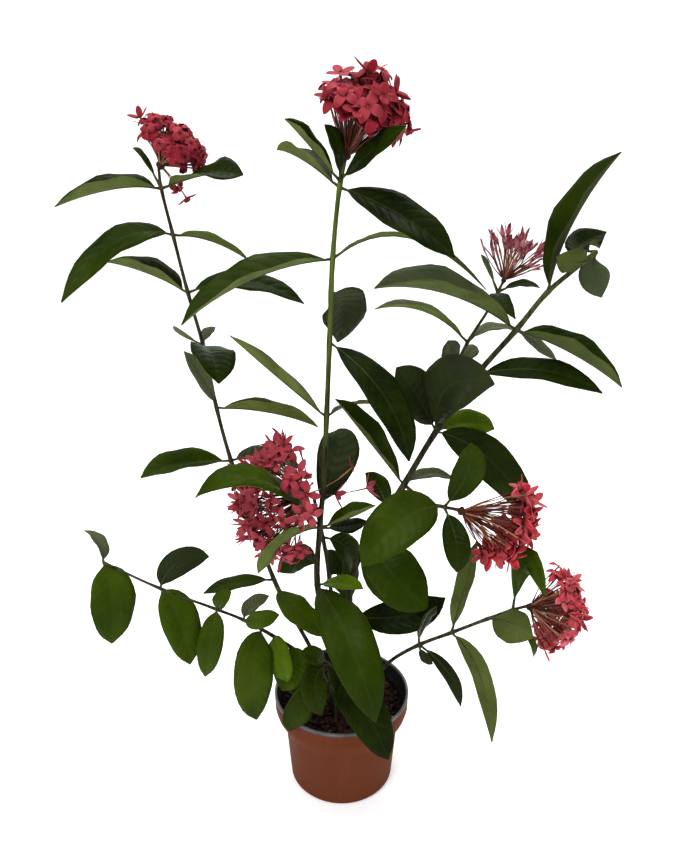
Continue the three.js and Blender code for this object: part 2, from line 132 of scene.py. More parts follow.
def alongRoute(points, place):
    # a smooth route through the points, place counted in points from the first
    i = min(int(place), len(points) - 2)
    t = place - i
    b, c = Vector(points[i]), Vector(points[i + 1])
    a = Vector(points[i - 1]) if i > 0 else b * 2 - c
    d = Vector(points[i + 2]) if i + 2 < len(points) else c * 2 - b
    ab, bc, cd = (math.sqrt((q - p).length) for p, q in ((a, b), (b, c), (c, d)))
    leave = ((b - a) / ab - (c - a) / (ab + bc) + (c - b) / bc) * bc
    arrive = ((c - b) / bc - (d - b) / (bc + cd) + (d - c) / cd) * bc
    return (
        b * (2 * t**3 - 3 * t**2 + 1)
        + leave * (t**3 - 2 * t**2 + t)
        + c * (3 * t**2 - 2 * t**3)
        + arrive * (t**3 - t**2)
    )


def bend(a, b, c, t):
    # a quadratic curve from a to c, pulled towards b
    return a * (1 - t) ** 2 + b * (2 * t * (1 - t)) + c * t**2


def growStalk(target, centres, radii, sides, slotNumber=0):
    # a ring of edges, extruded from centre to centre, and capped at both ends
    bm = bmesh.new()
    up = Vector((0.3, 1, 0.2))
    last = len(centres) - 1
    for i, centre in enumerate(centres):
        ahead = (centres[min(i + 1, last)] - centres[max(i - 1, 0)]).normalized()
        up = squareTo(ahead, up)[0]
        here = frameAt(centre, ahead, up, radii[i])
        if i == 0:
            bmesh.ops.create_circle(bm, cap_ends=True, radius=1, segments=sides, matrix=here)
            ring = bm.edges[:]
        else:
            verts, ring = extrudeRow(bm, ring)
            bmesh.ops.transform(bm, matrix=here @ before.inverted(), verts=verts)
        before = here
    bmesh.ops.contextual_create(bm, geom=ring)
    bmesh.ops.recalc_face_normals(bm, faces=bm.faces)
    return joinInto(target, bm, slotNumber)


def plug(value, slot):
    # a number or a colour is set on the slot itself, a socket is linked to it
    if isinstance(value, (int, float)):
        slot.default_value = value
    elif isinstance(value, tuple):
        slot.default_value = (*value, 1)
    else:
        slot.id_data.links.new(value, slot)


def addNode(tree, kind, **settings):
    node = tree.nodes.new("ShaderNode" + kind)
    for name, value in settings.items():
        setattr(node, name, value)
    return node


def calc(operation, *values, clamp=False):
    # a math node: each value is a number or a socket, and the sockets say which tree it stands in
    tree = next(value.id_data for value in values if not isinstance(value, (int, float)))
    node = addNode(tree, "Math", operation=operation, use_clamp=clamp)
    for value, slot in zip(values, node.inputs):
        plug(value, slot)
    return node.outputs[0]


def times(a, b, clamp=False):
    return calc("MULTIPLY", a, b, clamp=clamp)


def scaled(value, factor, more, clamp=False):
    return calc("MULTIPLY_ADD", value, factor, more, clamp=clamp)


def oneMinus(value):
    return calc("SUBTRACT", 1.0, value)


def blendColour(factor, a, b):
    node = addNode(factor.id_data, "Mix", data_type="RGBA")
    for value, number in ((factor, 0), (a, 6), (b, 7)):
        plug(value, node.inputs[number])
    return node.outputs[2]


def ramp(value, low, high):
    # 0 below low, 1 above high, and smooth between them
    node = addNode(value.id_data, "MapRange", interpolation_type="SMOOTHSTEP")
    for title, number in (("Value", value), ("From Min", low), ("From Max", high)):
        plug(number, node.inputs[title])
    return node.outputs["Result"]


def ownPlace(tree):
    # a place in the piece's own coordinates
    return addNode(tree, "TexCoord").outputs["Object"]


def splitPlace(place):
    split = addNode(place.id_data, "SeparateXYZ")
    plug(place, split.inputs[0])
    return split.outputs


def readMap(tree, name):
    # places on a piece's own map: across it, along it, and away from its middle line, all 0 to 1
    parts = splitPlace(addNode(tree, "UVMap", uv_map=name).outputs["UV"])
    return parts["X"], parts["Y"], calc("ABSOLUTE", scaled(parts["X"], 2.0, -1.0))


def readValue(tree, name):
    return addNode(tree, "Attribute", attribute_name=name).outputs["Fac"]


def spots(tree, scale, detail, stretch=(1, 1, 1)):
    # soft noise in the piece's own coordinates
    squeeze = addNode(tree, "Mapping")
    squeeze.inputs["Scale"].default_value = stretch
    plug(ownPlace(tree), squeeze.inputs["Vector"])
    speckle = addNode(tree, "TexNoise")
    for title, value in (("Vector", squeeze.outputs["Vector"]), ("Scale", scale), ("Detail", detail)):
        plug(value, speckle.inputs[title])
    return speckle.outputs["Fac"]


def layOut(tree):
    # nodes stand in columns, each to the left of all that it feeds
    column = {node.name: 0 for node in tree.nodes}
    for _ in tree.nodes:
        for link in tree.links:
            behind = column[link.to_node.name] + 1
            column[link.from_node.name] = max(column[link.from_node.name], behind)
    used = [0] * (len(tree.nodes) + 1)
    for node in tree.nodes:
        place = column[node.name]
        node.location = (-200 * place, -220 * used[place])
        used[place] += 1


def newMaterial(name, **fixed):
    # a Principled material: fixed values are set on its own sockets
    material = bpy.data.materials.new(name)
    material.use_nodes = True
    shader = material.node_tree.nodes["Principled BSDF"]
    for socket, value in fixed.items():
        plug(value, shader.inputs[socket.replace("_", " ")])
    return material, material.node_tree


def paint(material, colour, relief, strength, depth, roughness=None):
    # colour, relief and, where it varies, roughness go to the shader
    tree = material.node_tree
    shader = tree.nodes["Principled BSDF"]
    bump = addNode(tree, "Bump")
    for title, value in (("Strength", strength), ("Distance", depth), ("Height", relief)):
        plug(value, bump.inputs[title])
    plug(bump.outputs["Normal"], shader.inputs["Normal"])
    plug(colour, shader.inputs["Base Color"])
    if roughness is not None:
        plug(roughness, shader.inputs["Roughness"])
    layOut(tree)
    return material


def newGroup(name, inputs, outputs):
    # inputs have a starting value each, outputs a kind
    group = bpy.data.node_groups.new(name, "ShaderNodeTree")
    for title, value in inputs.items():
        kind = "NodeSocketFloat" if isinstance(value, float) else "NodeSocketColor"
        group.interface.new_socket(title, in_out="INPUT", socket_type=kind).default_value = value
    for title, kind in outputs.items():
        group.interface.new_socket(title, in_out="OUTPUT", socket_type="NodeSocket" + kind)
    return group, group.nodes.new("NodeGroupInput").outputs, group.nodes.new("NodeGroupOutput").inputs


def useGroup(tree, group, **values):
    node = addNode(tree, "Group", node_tree=group)
    for title, value in values.items():
        plug(value, node.inputs[title])
    return node.outputs


def makeVeins():
    # midrib, side veins and margin of a blade, and how far it swells between the side veins
    group, start, end = newGroup(
        "bladeVeins",
        {"Pairs": 9.0, "Sweep": 1.6, "Width": 0.16},
        {"Midrib": "Float", "Veins": "Float", "Margin": "Float", "Puff": "Float"},
    )
    _, along, outwards = readMap(group, "blade")
    # side veins leave the midrib forwards and curl towards the tip near the margin
    swept = times(calc("POWER", outwards, 1.35), start["Sweep"])
    saw = calc("FRACT", calc("SUBTRACT", times(along, start["Pairs"]), swept))
    peak = calc("ABSOLUTE", scaled(saw, 2.0, -1.0))
    over = calc("SUBTRACT", peak, oneMinus(start["Width"]))
    thin = calc("DIVIDE", over, start["Width"], clamp=True)
    fade = oneMinus(ramp(outwards, 0.75, 0.98))
    plug(oneMinus(ramp(outwards, 0.02, 0.10)), end["Midrib"])
    plug(times(thin, fade), end["Veins"])
    plug(ramp(outwards, 0.90, 1.0), end["Margin"])
    plug(times(oneMinus(times(peak, peak)), fade), end["Puff"])
    layOut(group)
    return group


def makeMottle():
    # two colours mixed in soft patches
    group, start, end = newGroup(
        "mottle",
        {"Low": (0, 0, 0, 1), "High": (1, 1, 1, 1), "Contrast": 2.0, "Patches": 0.5},
        {"Colour": "Color"},
    )
    centred = calc("SUBTRACT", start["Patches"], 0.5)
    mask = scaled(centred, start["Contrast"], 0.5, clamp=True)
    plug(blendColour(mask, start["Low"], start["High"]), end["Colour"])
    layOut(group)
    return group


veinGroup = makeVeins()
mottleGroup = makeMottle()
print("shader groups ready")


def mottled(patches, low, high, contrast):
    values = {"Low": low, "High": high, "Contrast": contrast, "Patches": patches}
    return useGroup(patches.id_data, mottleGroup, **values)["Colour"]


def mottledSkin(name, low, high, contrast, scale, detail, strength, depth, **fixed):
    # a material of two colours in patches, which are its relief as well
    material, tree = newMaterial(name, **fixed)
    patches = spots(tree, scale, detail)
    return paint(material, mottled(patches, low, high, contrast), patches, strength, depth)


potShape = {
    "profile": [  # radius and height, from the middle of the underside, up the outside and down the inside
        (0, 0), (15, 0), (17, 2.5), (44, 2.5), (46, 0), (52, 0), (54, 2.5), (59, 62), (63, 70), (67.6, 78),
        (69.4, 84), (69.89, 97), (70, 100), (67.8, 100), (67.2, 84.8), (65.2, 79.4), (60.8, 71.6), (57, 63),
        (52, 4.8), (0, 4.8),
    ],
    "steps": 96,
    "rounding": 0.7,
    "sharp": 28,  # degrees past which an edge is rounded
    "drains": {"count": 6, "radius": 4.5, "circle": 28, "depth": 10, "middle": 3, "sides": 24},
    "footTo": 3,  # the underside ends here
    "lipFrom": 97,  # and the smooth grey lip starts here
    "lipTo": 99.5,
}
potFinish = {
    "clay": (0.105, 0.026, 0.010),
    "clayLight": (0.121, 0.032, 0.013),
    "dust": (0.14, 0.050, 0.028),
    "grey": (0.008, 0.008, 0.008),
    "greyLight": (0.21, 0.21, 0.22),
}


def clayPlastic():
    f = potFinish
    material, tree = newMaterial("clayPlastic", Specular_IOR_Level=0.03)
    flow = spots(tree, scale=60, detail=3, stretch=(1, 1, 0.15))
    clay = mottled(spots(tree, scale=9, detail=4), f["clay"], f["clayLight"], contrast=1.6)
    streaked = blendColour(times(ramp(flow, 0.55, 0.8), 0.25), clay, f["dust"])
    relief = calc("ADD", flow, spots(tree, scale=500, detail=2))
    return paint(material, streaked, relief, strength=0.15, depth=0.0004, roughness=scaled(flow, 0.2, 0.55))


def greyPlastic():
    # near black inside, and grey along the lip
    f = potFinish
    material, tree = newMaterial("greyPlastic", Specular_IOR_Level=0.08)
    clouds = spots(tree, scale=70, detail=4)
    grey = mottled(clouds, f["grey"], f["greyLight"], contrast=1.2)
    lip = ramp(splitPlace(ownPlace(tree))["Z"], (potShape["lipFrom"] - 1) * mm, potShape["lipTo"] * mm)
    colour = blendColour(scaled(lip, 0.85, 0.08), f["grey"], grey)
    return paint(material, colour, clouds, strength=0.2, depth=0.0005, roughness=scaled(clouds, 0.25, 0.3))


def turnProfile(bm, profile, steps):
    # spins a line of points once round the pot's axis
    verts = [bm.verts.new((r, 0, z)) for r, z in profile]
    edges = [bm.edges.new(pair) for pair in zip(verts, verts[1:])]
    turn = {"cent": (0, 0, 0), "axis": (0, 0, 1), "angle": 2 * math.pi, "steps": steps, "use_merge": True}
    bmesh.ops.spin(bm, geom=verts + edges, **turn)
    bmesh.ops.remove_doubles(bm, verts=bm.verts, dist=0.001)
    bmesh.ops.recalc_face_normals(bm, faces=bm.faces)


def drill(piece, drains):
    holes = bmesh.new()
    for k in range(drains["count"]):
        a = k / drains["count"] * 2 * math.pi
        where = (drains["circle"] * math.cos(a), drains["circle"] * math.sin(a), drains["middle"])
        size = {"radius1": drains["radius"], "radius2": drains["radius"], "depth": drains["depth"]}
        place = Matrix.Translation(where)
        bmesh.ops.create_cone(holes, cap_ends=True, segments=drains["sides"], matrix=place, **size)
    bmesh.ops.scale(holes, vec=(mm, mm, mm), verts=holes.verts)
    cutter = addObject("drainHoles", meshFrom(holes, "drainHoles"))
    cut = piece.modifiers.new("drill", "BOOLEAN")
    cut.object, cut.operation, cut.solver = cutter, "DIFFERENCE", "EXACT"
    bpy.context.view_layer.update()
    drilled = bpy.data.meshes.new_from_object(piece.evaluated_get(bpy.context.evaluated_depsgraph_get()))
    piece.modifiers.clear()
    piece.data = drilled
    drilled.shade_smooth()
    bpy.data.objects.remove(cutter)


def makePot():
    s = potShape
    bm = bmesh.new()
    turnProfile(bm, s["profile"], s["steps"])
    for face in bm.faces:
        # the inside, its bottom and the lip are grey, and the outside is clay
        middle = face.calc_center_median()
        inside = Vector((middle.x, middle.y, 0)).dot(face.normal) < 0
        bottom = face.normal.z > 0.9 and middle.z > s["footTo"]
        face.material_index = 1 if inside or bottom or middle.z > s["lipFrom"] else 0
    pot = finishPiece("pot_shell", bm, [clayPlastic(), greyPlastic()], ["pot"])
    drill(pot, s["drains"])
    edge = pot.modifiers.new("rounding", "BEVEL")
    edge.width, edge.segments, edge.profile = s["rounding"] * mm, 2, 0.5
    edge.limit_method, edge.angle_limit = "ANGLE", math.radians(s["sharp"])
    edge.harden_normals = True


makePot()
print("pot moulded")


soilShape = {
    "profile": [
        (0, 5.2), (51.6, 5.2), (56.4, 63.2), (60.2, 72), (64.4, 79.6), (64.8, 82), (50, 83), (35, 84),
        (20, 85), (0, 86),
    ],
    "steps": 72,
    "top": 86,  # height in the middle, from where it falls to the edge
    "fall": 4,
    "edge": 64.8,
    "unevenFrom": 82.5,
    "roughness": 1.3,
    "lumps": 0.09,
    "shapes": 5,  # of chips
    "chips": 420,
    "chipSizes": ((5, 13), (3, 6.5), (1.6, 3.4)),
    "chipsTo": 57,  # distance from the middle
    "chipsLie": (0.2, 0.9),  # how far a chip's middle is above the bed, as a share of half its height
    "rounding": 0.16,
    "jagged": 0.09,
    "tilt": 0.28,
    "grains": 260,
    "grainSizes": (1.2, 2.8),
    "grainsTo": 61,
    "grainsLie": 0.8,
    "perlite": 16,
    "seed": 21,
}
soilFinish = {
    "dark": (0.003, 0.002, 0.002),
    "brown": (0.012, 0.006, 0.004),
    "chipDark": (0.003, 0.0015, 0.001),
    "chipRed": (0.030, 0.012, 0.009),
    "chipGrey": (0.085, 0.060, 0.045),
    "perlite": (0.34, 0.30, 0.25),
    "perliteShade": 2.0,
}


def soilSkin():
    crumbs = {"contrast": 3.2, "scale": 220, "detail": 6, "strength": 1.0, "depth": 0.003}
    look = {"Roughness": 0.92, "Specular_IOR_Level": 0.04}
    return mottledSkin("soilSkin", soilFinish["dark"], soilFinish["brown"], **crumbs, **look)


def chipSkin():
    # the shade of a chip says how grey and old it is, and perlite is past that
    f = soilFinish
    material, tree = newMaterial("chipSkin", Roughness=0.82, Specular_IOR_Level=0.05)
    grain = spots(tree, scale=260, detail=5, stretch=(1, 0.35, 1))
    kind = readValue(tree, "shade")
    red = mottled(grain, f["chipDark"], f["chipRed"], contrast=3.0)
    old = blendColour(times(ramp(kind, 0.80, 0.98), 0.6), red, f["chipGrey"])
    pale = blendColour(ramp(kind, 1.5, 1.6), old, f["perlite"])
    return paint(material, pale, grain, strength=0.8, depth=0.0012)


def chipShape(rand):
    s = soilShape
    chip = bmesh.new()
    bmesh.ops.create_cube(chip, size=1)
    how = {"segments": 1, "profile": 0.5, "affect": "EDGES", "material": -1}
    bmesh.ops.bevel(chip, geom=chip.edges[:], offset=s["rounding"], **how)
    for vert in chip.verts:
        vert.co += Vector([rand.uniform(-1, 1) for _ in range(3)]) * s["jagged"]
    return meshFrom(chip, "chip")


def makeSoil():
    s = soilShape
    rand = random.Random(s["seed"])
    bed = bmesh.new()
    turnProfile(bed, s["profile"], s["steps"])
    for vert in bed.verts:
        if vert.co.z > s["unevenFrom"]:
            vert.co.z += s["roughness"] * noise.noise(vert.co * s["lumps"])
    finishPiece("soil_bed", bed, [soilSkin()], ["soil"])

    shapes = [chipShape(rand) for _ in range(s["shapes"])]
    chips = newShape("shade")
    for number in range(s["chips"] + s["grains"] + s["perlite"]):
        isChip = number < s["chips"]
        isPerlite = number >= s["chips"] + s["grains"]
        r = (s["chipsTo"] if isChip else s["grainsTo"]) * math.sqrt(rand.random())
        a = rand.uniform(0, 2 * math.pi)
        if isChip:
            size = [rand.uniform(*pair) for pair in s["chipSizes"]]
            lie = rand.uniform(*s["chipsLie"]) * size[2] * 0.5
        else:
            size = [rand.uniform(*s["grainSizes"])] * 3
            lie = s["grainsLie"]
        ground = s["top"] - s["fall"] * r / s["edge"]
        place = Matrix.Translation((r * math.cos(a), r * math.sin(a), ground + lie))
        rollX, rollY = (Matrix.Rotation(rand.gauss(0, s["tilt"]), 4, axis) for axis in "XY")
        turn = Matrix.Rotation(rand.uniform(0, math.pi), 4, "Z")
        shade = soilFinish["perliteShade"] if isPerlite else rand.random()
        matrix = place @ rollX @ rollY @ turn @ Matrix.Diagonal((*size, 1))
        placeCopy(chips, rand.choice(shapes), matrix, shade)
    finishPiece("bark_chips", chips, [chipSkin()], ["soil"])


makeSoil()
print("soil filled")


leafFinish = {
    "upperDark": (0.0025, 0.005, 0.0002),
    "upperMid": (0.008, 0.0145, 0.0006),
    "upperFresh": (0.042, 0.088, 0.001),
    "upperFreshest": (0.112, 0.192, 0.002),
    # the colour of the painted sheen, a silvery grey that stands in for gloss on the tops
    "upperPaintedSheen": (0.100, 0.120, 0.060),
    "paintedSheen": 0.05,  # how much painted sheen, a silvery colour that stands in for gloss, every blade has in patches
    "upperVein": (0.050, 0.075, 0.014),
    "lowerDark": (0.014, 0.020, 0.004),
    "lowerMid": (0.072, 0.098, 0.018),
    "lowerLight": (0.125, 0.160, 0.038),
    "lowerVein": (0.15, 0.18, 0.065),
}


def leafUpper():
    # tint turns the blade from dark to fresh green, and below nought to a painted sheen: a silvery colour
    # that stands in for gloss
    f = leafFinish
    material, tree = newMaterial("leafUpper", Specular_IOR_Level=0.03)
    veins = useGroup(tree, veinGroup)
    broad = spots(tree, scale=17, detail=3)
    grain = spots(tree, scale=160, detail=3)
    green = mottled(spots(tree, scale=38, detail=4), f["upperDark"], f["upperMid"], contrast=3.0)
    young = mottled(broad, f["upperFresh"], f["upperFreshest"], contrast=3.0)
    tint = readValue(tree, "tint")
    # painted sheen lies in patches, and between the side veins: a silvery colour that stands in for gloss
    sheenPatches = times(veins["Puff"], ramp(broad, 0.45, 0.68))
    # grey is the painted sheen of blades whose tint is below nought
    grey = times(times(tint, -1.0, clamp=True), scaled(sheenPatches, 0.6, 0.75))
    paintedSheen = scaled(sheenPatches, f["paintedSheen"], grey, clamp=True)
    sheenedColour = blendColour(paintedSheen, blendColour(tint, green, young), f["upperPaintedSheen"])
    ribs = calc("MAXIMUM", times(veins["Midrib"], 0.12), times(veins["Veins"], 0.08))
    marks = calc("MAXIMUM", ribs, times(veins["Margin"], 0.15))
    relief = calc("SUBTRACT", scaled(veins["Puff"], 0.8, times(grain, 0.25)), ribs)
    colour = blendColour(marks, sheenedColour, f["upperVein"])
    return paint(material, colour, relief, strength=0.5, depth=0.0008, roughness=scaled(grain, 0.22, 0.24))


def leafLower():
    f = leafFinish
    material, tree = newMaterial("leafLower", Roughness=0.65, Specular_IOR_Level=0.03)
    veins = useGroup(tree, veinGroup, Width=0.2)
    green = mottled(spots(tree, scale=46, detail=4), f["lowerMid"], f["lowerLight"], contrast=2.8)
    ribs = calc("MAXIMUM", times(veins["Midrib"], 0.8), times(veins["Veins"], 0.4))
    veined = blendColour(ribs, green, f["lowerVein"])
    colour = blendColour(readValue(tree, "pale"), f["lowerDark"], veined)
    relief = calc("ADD", ribs, times(spots(tree, scale=260, detail=3), 0.5))
    return paint(material, colour, relief, strength=0.4, depth=0.0004)


stemFinish = {
    "green": (0.034, 0.054, 0.006),
    "greenLight": (0.095, 0.125, 0.022),
    "bark": (0.010, 0.009, 0.004),
    "barkLight": (0.058, 0.052, 0.028),
    "petiole": (0.020, 0.028, 0.006),
    "petioleLight": (0.052, 0.065, 0.018),
}


def stemBark():
    f = stemFinish
    material, tree = newMaterial("stemBark", Roughness=0.6, Specular_IOR_Level=0.05)
    streaks = spots(tree, scale=300, detail=4, stretch=(1, 1, 0.12))
    age = ramp(scaled(streaks, 0.7, readValue(tree, "green")), 0.3, 1.3)
    green = mottled(streaks, f["green"], f["greenLight"], contrast=2.5)
    bark = mottled(streaks, f["bark"], f["barkLight"], contrast=3.0)
    return paint(material, blendColour(age, bark, green), streaks, strength=0.5, depth=0.0008)


def petioleGreen():
    streaks = {"contrast": 2.0, "scale": 200, "detail": 3, "strength": 0.3, "depth": 0.0004}
    look = {"Roughness": 0.5, "Specular_IOR_Level": 0.05}
    return mottledSkin("petioleGreen", stemFinish["petiole"], stemFinish["petioleLight"], **streaks, **look)


upperSkin, lowerSkin, barkSkin, petioleSkin = leafUpper(), leafLower(), stemBark(), petioleGreen()


leafShape = {
    "across": 8,
    "along": 14,
    "crowd": 0.65,  # how much the rows crowd towards both ends, where the outline turns
    "thickness": 0.45,
    "petiole": 7,  # bare length before the blade
    "mostBare": 0.16,  # and its greatest share of the whole leaf
    "least": 0.7,  # half width where the blade starts and ends
    "fold": 14,  # degrees that each half rises from the midrib
    "taper": 0.6,  # how pointed both ends are
    "footSlope": 6,  # the blade leaves its petiole and comes to its point as wedges this steep
    "tipSlope": 3,
    "ribSink": 0.25,  # the raised midrib lies this far under the blade
    "petioleRadii": (1.6, 1.35),
    "ribRadii": (1.15, 0.12),  # of the midrib, at the foot of the blade and at its tip
    "ribSides": 6,
    "roundedFold": 0.12,
    "foldSink": 0.6,  # how much of that rounding lies under the midrib's line
    "arch": 0.10,  # how far each half bulges up, as a share of its width
    "wave": 0.05,  # rise and fall of the margin, as a share of the width
    "waves": 2.3,
    "waveLag": 0.35,  # between the two halves
    "tintSpread": 0.02,
}
stemShape = {
    "sides": 12,
    "steps": 5,  # rings between two points
    "swell": 0.45,  # where a leaf stands
    "swellEnds": 7,  # how soon that ends
    "greening": 260,  # height over which green takes over from the bark
}

# A stem has its points, the radii at its foot and its end, and barkTo, the height where green sets in.
# A leaf is its place on the stem in points, the middle and the tip of its midrib, its width, the way its
# face looks and, if it isn't like the rest, its fold and its twist in degrees. fresh and pale colour the
# tops and the undersides, and freshest and palest those of single leaves, by number. A freshest below
# nought is painted sheen: it turns the top to a silvery colour that stands in for gloss.
# A head has the way it faces, its neck's length, its reach from the knot and how many degrees it spreads.
# flat shortens it towards the rim, depth thins it from front to back, and shortest is the least share of
# its reach. forms weighs the floretForms, rosy makes it lighter, and a stray is a way out and a reach.
leftStem = {
    "barkTo": 640,
    "fresh": 0.12,
    "freshestAndSheen": {
        0: 0, 1: 0, 3: 0.15, 4: 0.6, 5: 0, 6: 0.04, 7: 0.05,
        8: -0.5, 9: -1, 10: -1, 12: 0.2, 13: -0.2, 15: 0.35,
    },
    "pale": 0.74,
    "palest": {11: 1.15},
    "points": [
        [-16, -2, 62], [-16, -2, 80], [-17, -2, 96], [-27, -2, 138], [-65, 2, 219],
        [-88, 8, 289], [-107, 14, 349], [-119, 18, 401], [-129, 22, 460], [-141, 26, 508],
        [-152, 30, 559], [-161, 34, 602], [-162, 36, 614],
    ],
    "radii": [2.4, 1.3],
    "leaves": [
        [10.9, [-201, 30, 598], [-251, 18, 583], 29, [-0.1, -0.2, 1], 41],
        [10.9, [-117, 12, 609], [-83, 2, 609], 33, [-0.2, -0.3, 0.9], 22, 75],
        [10.9, [-176, 40, 626], [-186, 44, 633], 8, [0.6, -0.5, 0.6], 8],
        [10, [-197, 10, 554], [-243, -12, 504], 32, [-0.1, -0.7, 0.7], 7],
        [10, [-121, 45, 553], [-87, 55, 534], 17, [0.4, 0, 0.9], 39],
        [9, [-178, 40, 523], [-220, 48, 534], 27, [0.3, -0.1, 0.9], 45],
        [9, [-90, 44, 516], [-36, 50, 495], 30, [0.2, -0.6, 1]],
        [8, [-115, -16, 458], [-105, -42, 439], 40, [0.3, -0.2, 0.9], 18],
        [8, [-129, 42, 468], [-122, 52, 472], 12, [0, -0.4, 0.9], 8],
        [8, [-154, 48, 467], [-166, 66, 471], 5, [-0.4, -0.6, 0.7], 8],
        [7, [-128, 6, 433], [-141, -6, 460], 16, [0.8, -0.7, 0], 6],
        [7, [-70, 30, 392], [-23, 38, 375], 26, [0.2, 0.2, 1], 46],
        [6, [-151, 0, 349], [-188, -12, 341], 30, [0, -0.4, 0.9], 34],
        [6, [-76, 45, 342], [-42, 70, 320], 28, [0, -0.5, 1]],
        [4.1, [-102, -8, 229], [-134, -22, 225], 18, [0.1, -0.3, 0.9], 10],
        [4, [-45, -20, 206], [-12, -26, 180], 32, [0.4, -0.4, 0.8], 8],
    ],
    "head": {
        "name": "bloom_left", "florets": 74, "buds": 0, "rosy": 0.15,
        "forms": (1, 3, 1, 0, 8), "tube": 1.1, "shortest": 0.75,
        "axis": [0.6, -0.1, 0.8], "neck": 5, "reach": 39, "spread": 62,
        "size": 9, "seed": 3,
        "strays": [
            [[0.4, 0.55, -0.75], 26], [[0.5, 0.4, -0.77], 36],
        ],
    },
}

centreStem = {
    "barkTo": 300,
    "fresh": 0.06,
    "freshestAndSheen": {
        1: 0, 3: 0.04, 4: 0, 5: 0.15, 7: -0.25, 8: 0, 9: -1,
        11: 0.4, 12: 0.35, 13: 0.2, 14: 0.8, 15: 0.2,
    },
    "pale": 0.82,
    "palest": {9: 1.35, 12: 1.3},
    "points": [
        [2, 0, 62], [2, 0, 80], [1, 0, 96], [-6, -2, 130], [-24, -6, 225], [-21, -6, 288],
        [-17, -5, 334], [-14, -3, 398], [-11, 0, 467], [-8, 2, 540], [-2, 4, 599],
        [2, 4.6, 619],
    ],
    "radii": [3.4, 1.9],
    "leaves": [
        [10.2, [-27, -8, 631], [-46, -18, 650], 23, [0.7, -0.2, 0.6], 36],
        [10, [-34, 30, 622], [-58, 48, 632], 24, [0.4, -0.1, 0.9], 40],
        [10.1, [-4, -12, 630], [-14, -16, 646], 16, [0.7, -0.7, 0.1], 8],
        [10.3, [22, -26, 624], [49, -46, 642], 24, [-0.8, -0.5, 0.4], 10],
        [10, [49, -16, 576], [93, -30, 543], 35, [0.1, -0.9, 0.7]],
        [9, [-74, -22, 525], [-133, -44, 489], 36, [-0.2, -0.3, 0.9], 36],
        [9, [55, 4, 558], [122, -22, 516], 19, [0.2, 0.2, 1], 20, -40],
        [8.6, [0, 30, 496], [-4, 38, 460], 49, [0.5, -0.7, -0.5], 12],
        [8, [36, -34, 427], [58, -54, 373], 34, [0.3, -0.9, 0.6]],
        [7, [-65, 22, 433], [-107, 40, 466], 18, [0.6, 0.1, 0.8], 49],
        [7, [14, 24, 403], [50, 44, 393], 22, [0, 0.4, 1]],
        [5, [-47, -74, 308], [-71, -92, 286], 30, [-0.3, 0.8, 0.6]],
        [5, [9, -2, 296], [33, 6, 305], 19, [-0.3, -0.1, 1], 50],
        [4.3, [-42, 26, 238], [-68, 40, 214], 30, [-0.3, -0.8, 0.6]],
        [4, [-1, -28, 240], [20, -44, 243], 18, [0, -0.5, 1]],
        [4, [6, -80, 212], [30, -108, 147], 46, [0.3, -1, 0.5]],
    ],
    "head": {
        "name": "bloom_top", "florets": 84, "buds": 2, "rosy": 0.15,
        "forms": (3, 5, 2, 0, 3), "tube": 1.1, "shortest": 0.82,
        "axis": [0.4, -0.25, 0.88], "neck": 5, "reach": 66, "spread": 46,
        "flat": 0.22, "size": 12.5, "seed": 5,
    },
}

middleStem = {
    "barkTo": 420,
    "fresh": 0.12,
    "freshestAndSheen": {0: 0.28, 1: -0.18, 2: 0.15, 3: 0, 4: 0.15, 5: 0.12},
    "pale": 0.8,
    "points": [
        [10, 16, 62], [10, 16, 80], [9, 16, 96], [4, 14, 130], [-11, 12, 210], [-17, 12, 258],
        [-27, 9, 312],
    ],
    "radii": [2.4, 1.6],
    "leaves": [
        [5.4, [-73, -62, 361], [-125, -70, 346], 26, [0.5, -0.3, 0.8], 6, -25],
        [5.7, [-4, 34, 348], [-4, 52, 369], 42, [0.2, -0.8, 0.5], 8],
        [4.2, [-2, 38, 220], [9, 46, 176], 36, [0.2, -1, 0.4]],
        [5.4, [5, 22, 275], [25, 26, 280], 20, [0.2, -0.3, 0.9], 8],
        [5.2, [6, 28, 247], [11, 28, 217], 30, [0.8, -0.6, 0.2], 8],
        [5, [-9, 26, 236], [-1, 24, 219], 18, [0.7, -0.7, 0.1], 6],
    ],
    "head": {
        "name": "bloom_middle", "florets": 150, "buds": 14, "rosy": 0.6,
        "forms": (4, 3, 4, 4, 1), "tube": 1.0, "slim": 0.72,
        "axis": [-0.85, -0.45, 0.05], "neck": 12, "reach": 64, "spread": 74,
        "size": 13, "seed": 11,
        "strays": [
            [[0.86, 0.11, 0.5], 52], [[0.99, 0.13, 0.07], 60], [[0.99, 0.1, 0], 29],
        ],
    },
}

